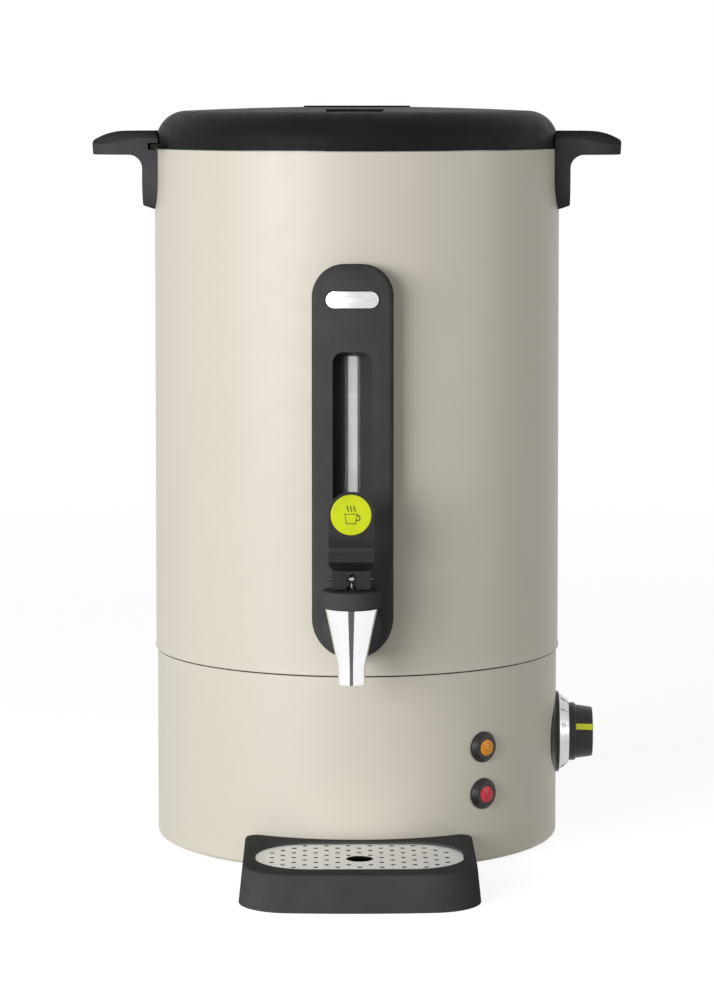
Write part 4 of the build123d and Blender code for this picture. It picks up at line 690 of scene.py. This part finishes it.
# %% Cup sign
SIGN_LINE = 0.55 * MM
CUP_TOP_W = 8.0 * MM
CUP_FOOT_W = 5.6 * MM
CUP_TALL = 6.0 * MM
CUP_RIM = 0.6 * MM
CUP_HANDLE_R = 1.7 * MM
CUP_HANDLE_INSET = 0.2 * MM
CUP_HANDLE_DROP = 2.4 * MM
CUP_HANDLE_HALF_TURN = 100.0
CUP_HANDLE_STEPS = 12
STEAM_TALL = 3.6 * MM
STEAM_SWAY = 0.45 * MM
STEAM_GAP = 2.1 * MM
STEAM_LIFT = 1.5 * MM
STEAM_STEPS = 16
TO_RIGHT = Vector((1, 0, 0))
UPWARD = Vector((0, 0, 1))
disc_low, disc_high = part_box("lever_disc")
disc_middle = (disc_low + disc_high) / 2
disc_middle.y = disc_low.y
cup = [
    Vector((-CUP_TOP_W / 2, CUP_RIM)),
    Vector((-CUP_FOOT_W / 2, CUP_RIM - CUP_TALL)),
    Vector((CUP_FOOT_W / 2, CUP_RIM - CUP_TALL)),
    Vector((CUP_TOP_W / 2, CUP_RIM)),
]
ear_middle = Vector((CUP_TOP_W / 2 - CUP_HANDLE_INSET, CUP_RIM - CUP_HANDLE_DROP))
ear = []
for step in range(CUP_HANDLE_STEPS + 1):
    turn = math.radians(CUP_HANDLE_HALF_TURN * (1 - 2 * step / CUP_HANDLE_STEPS))
    ear.append(ear_middle + CUP_HANDLE_R * Vector((math.cos(turn), math.sin(turn))))
form = bmesh.new()
add_ribbon(form, cup, SIGN_LINE, disc_middle, TO_RIGHT, UPWARD, closed=True)
add_ribbon(form, ear, SIGN_LINE, disc_middle, TO_RIGHT, UPWARD)
for column in (-1, 0, 1):
    wisp = []
    for step in range(STEAM_STEPS + 1):
        share = step / STEAM_STEPS
        sway = STEAM_SWAY * math.sin(2 * math.pi * share)
        wisp.append(Vector((column * STEAM_GAP + sway, CUP_RIM + STEAM_LIFT + STEAM_TALL * share)))
    add_ribbon(form, wisp, SIGN_LINE, disc_middle, TO_RIGHT, UPWARD)
mesh_piece("cup_sign", form, mark_black, "lever")
print("cup sign on the disc at", [round(x, 4) for x in disc_middle])

# %% [markdown]
# The dial's ring is a cone about the knob's axis, with numbers around it. Bending a flat print onto a cone is
# awkward, so each mark gets its own place and directions on the cone: the way to read, the way up, and the
# way out of the surface.

# %% Places on the dial
NARROW_R = 20.75 * MM
ring_low, ring_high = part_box("dial_ring")
dial_middle = (ring_low + ring_high) / 2
wide_r = (ring_high.z - ring_low.z) / 2


def on_dial(turn, share):
    """A spot on the ring, from its wide edge (0) to its narrow one (1), at degrees above the front."""
    radius = wide_r + (NARROW_R - wide_r) * share
    angle = math.radians(turn)
    x = ring_low.x + (ring_high.x - ring_low.x) * share
    return Vector((x, dial_middle.y - radius * math.cos(angle), dial_middle.z + radius * math.sin(angle)))


def dial_axes(turn):
    """The way to read, the way up and the way out of the cone."""
    angle = math.radians(turn)
    reading = Vector((0, math.sin(angle), math.cos(angle)))
    upward = (on_dial(turn, 0) - on_dial(turn, 1)).normalized()
    return reading, upward, reading.cross(upward)


print("dial's ring around", [round(x, 4) for x in dial_middle], "radius", round(wide_r, 4))

# %% [markdown]
# Each number is a font curve turned into a mesh and stood on the cone by a matrix, whose three columns are
# those directions. A tick below it is a short bar. All of them end up in one mesh, as one print.

# %% Dial scale
DIAL_STEPS = 10
DIAL_START = 20.0
DIAL_TURN = 270.0
DIGIT_TALL = 3.6 * MM
DIGIT_SHARE = 0.42
FONT_CAP_SHARE = 0.7  # height of a digit, of the font's size
FONT_STEPS = 3
TICK_W = 0.4 * MM
TICK_SHARES = (0.78, 0.95)


def add_number(form, number, spot, axes):
    """A number as a thin solid, its middle on a spot."""
    writing = bpy.data.curves.new("number", "FONT")
    writing.body = str(number)
    writing.size = DIGIT_TALL / FONT_CAP_SHARE
    writing.align_x = "CENTER"
    writing.align_y = "CENTER"
    writing.extrude = (MARK_PROUD + MARK_SINK) / 2
    writing.resolution_u = FONT_STEPS
    holder = bpy.data.objects.new("number", writing)
    solid_number = bpy.data.meshes.new_from_object(holder)
    first = len(form.verts)
    form.from_mesh(solid_number)
    form.verts.ensure_lookup_table()
    frame_at = Matrix(axes).transposed().to_4x4()
    frame_at.translation = spot + axes[2] * (MARK_PROUD - MARK_SINK) / 2
    bmesh.ops.transform(form, matrix=frame_at, verts=form.verts[first:])
    bpy.data.objects.remove(holder)
    bpy.data.curves.remove(writing)
    bpy.data.meshes.remove(solid_number)


form = bmesh.new()
for step in range(DIAL_STEPS + 1):
    turn = DIAL_START + DIAL_TURN * step / DIAL_STEPS
    axes = dial_axes(turn)
    add_number(form, step, on_dial(turn, DIGIT_SHARE), axes)
    ends = [on_dial(turn, share) for share in TICK_SHARES]
    half = axes[0] * TICK_W / 2
    lift = axes[2] * MARK_PROUD
    corners = [ends[0] - half + lift, ends[0] + half + lift, ends[1] + half + lift, ends[1] - half + lift]
    add_bar(form, corners, -axes[2] * (MARK_PROUD + MARK_SINK))
mesh_piece("dial_scale", form, mark_black, "boiler")
print("dial numbers and ticks", DIAL_STEPS + 1)

# %% [markdown]
# ## The valve's spring
# The spring above the valve's cup gets shorter as the stem rises, and a solid of the frame keeps its shape.
# A mesh of our own stands for it here: a circle carried up a helix, ring by ring, at the spring's present
# length.

# %% Valve spring
SPRING_TURNS = 5
SPRING_WIRE_R = 0.45 * MM
STEPS_PER_TURN = 24
WIRE_SIDES = 10
spring_low, spring_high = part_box("valve_spring")
spring_top = (spring_low + spring_high) / 2
spring_top.z = spring_high.z
spring_tall = spring_high.z - spring_low.z
coil_r = (spring_high.x - spring_low.x) / 2 - SPRING_WIRE_R
coil_steps = SPRING_TURNS * STEPS_PER_TURN
coil_drop = spring_tall - 2 * SPRING_WIRE_R
form = bmesh.new()
rings = []
for step in range(coil_steps + 1):
    turn = 2 * math.pi * step / STEPS_PER_TURN
    outward = Vector((math.cos(turn), math.sin(turn), 0))
    below = SPRING_WIRE_R + coil_drop * (1 - step / coil_steps)
    wire_middle = spring_top + outward * coil_r - UPWARD * below
    ring = []
    for side in range(WIRE_SIDES):
        angle = 2 * math.pi * side / WIRE_SIDES
        spoke = outward * math.cos(angle) + UPWARD * math.sin(angle)
        ring.append(form.verts.new(wire_middle + spoke * SPRING_WIRE_R))
    rings.append(ring)
for ring, following in zip(rings, rings[1:]):
    for side in range(WIRE_SIDES):
        other = (side + 1) % WIRE_SIDES
        form.faces.new((ring[side], ring[other], following[other], following[side]))
form.faces.new(rings[0])
form.faces.new(rings[-1])
spring = mesh_piece("spring_coil", form, zinc, "boiler")
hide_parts("valve_spring")
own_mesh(spring)
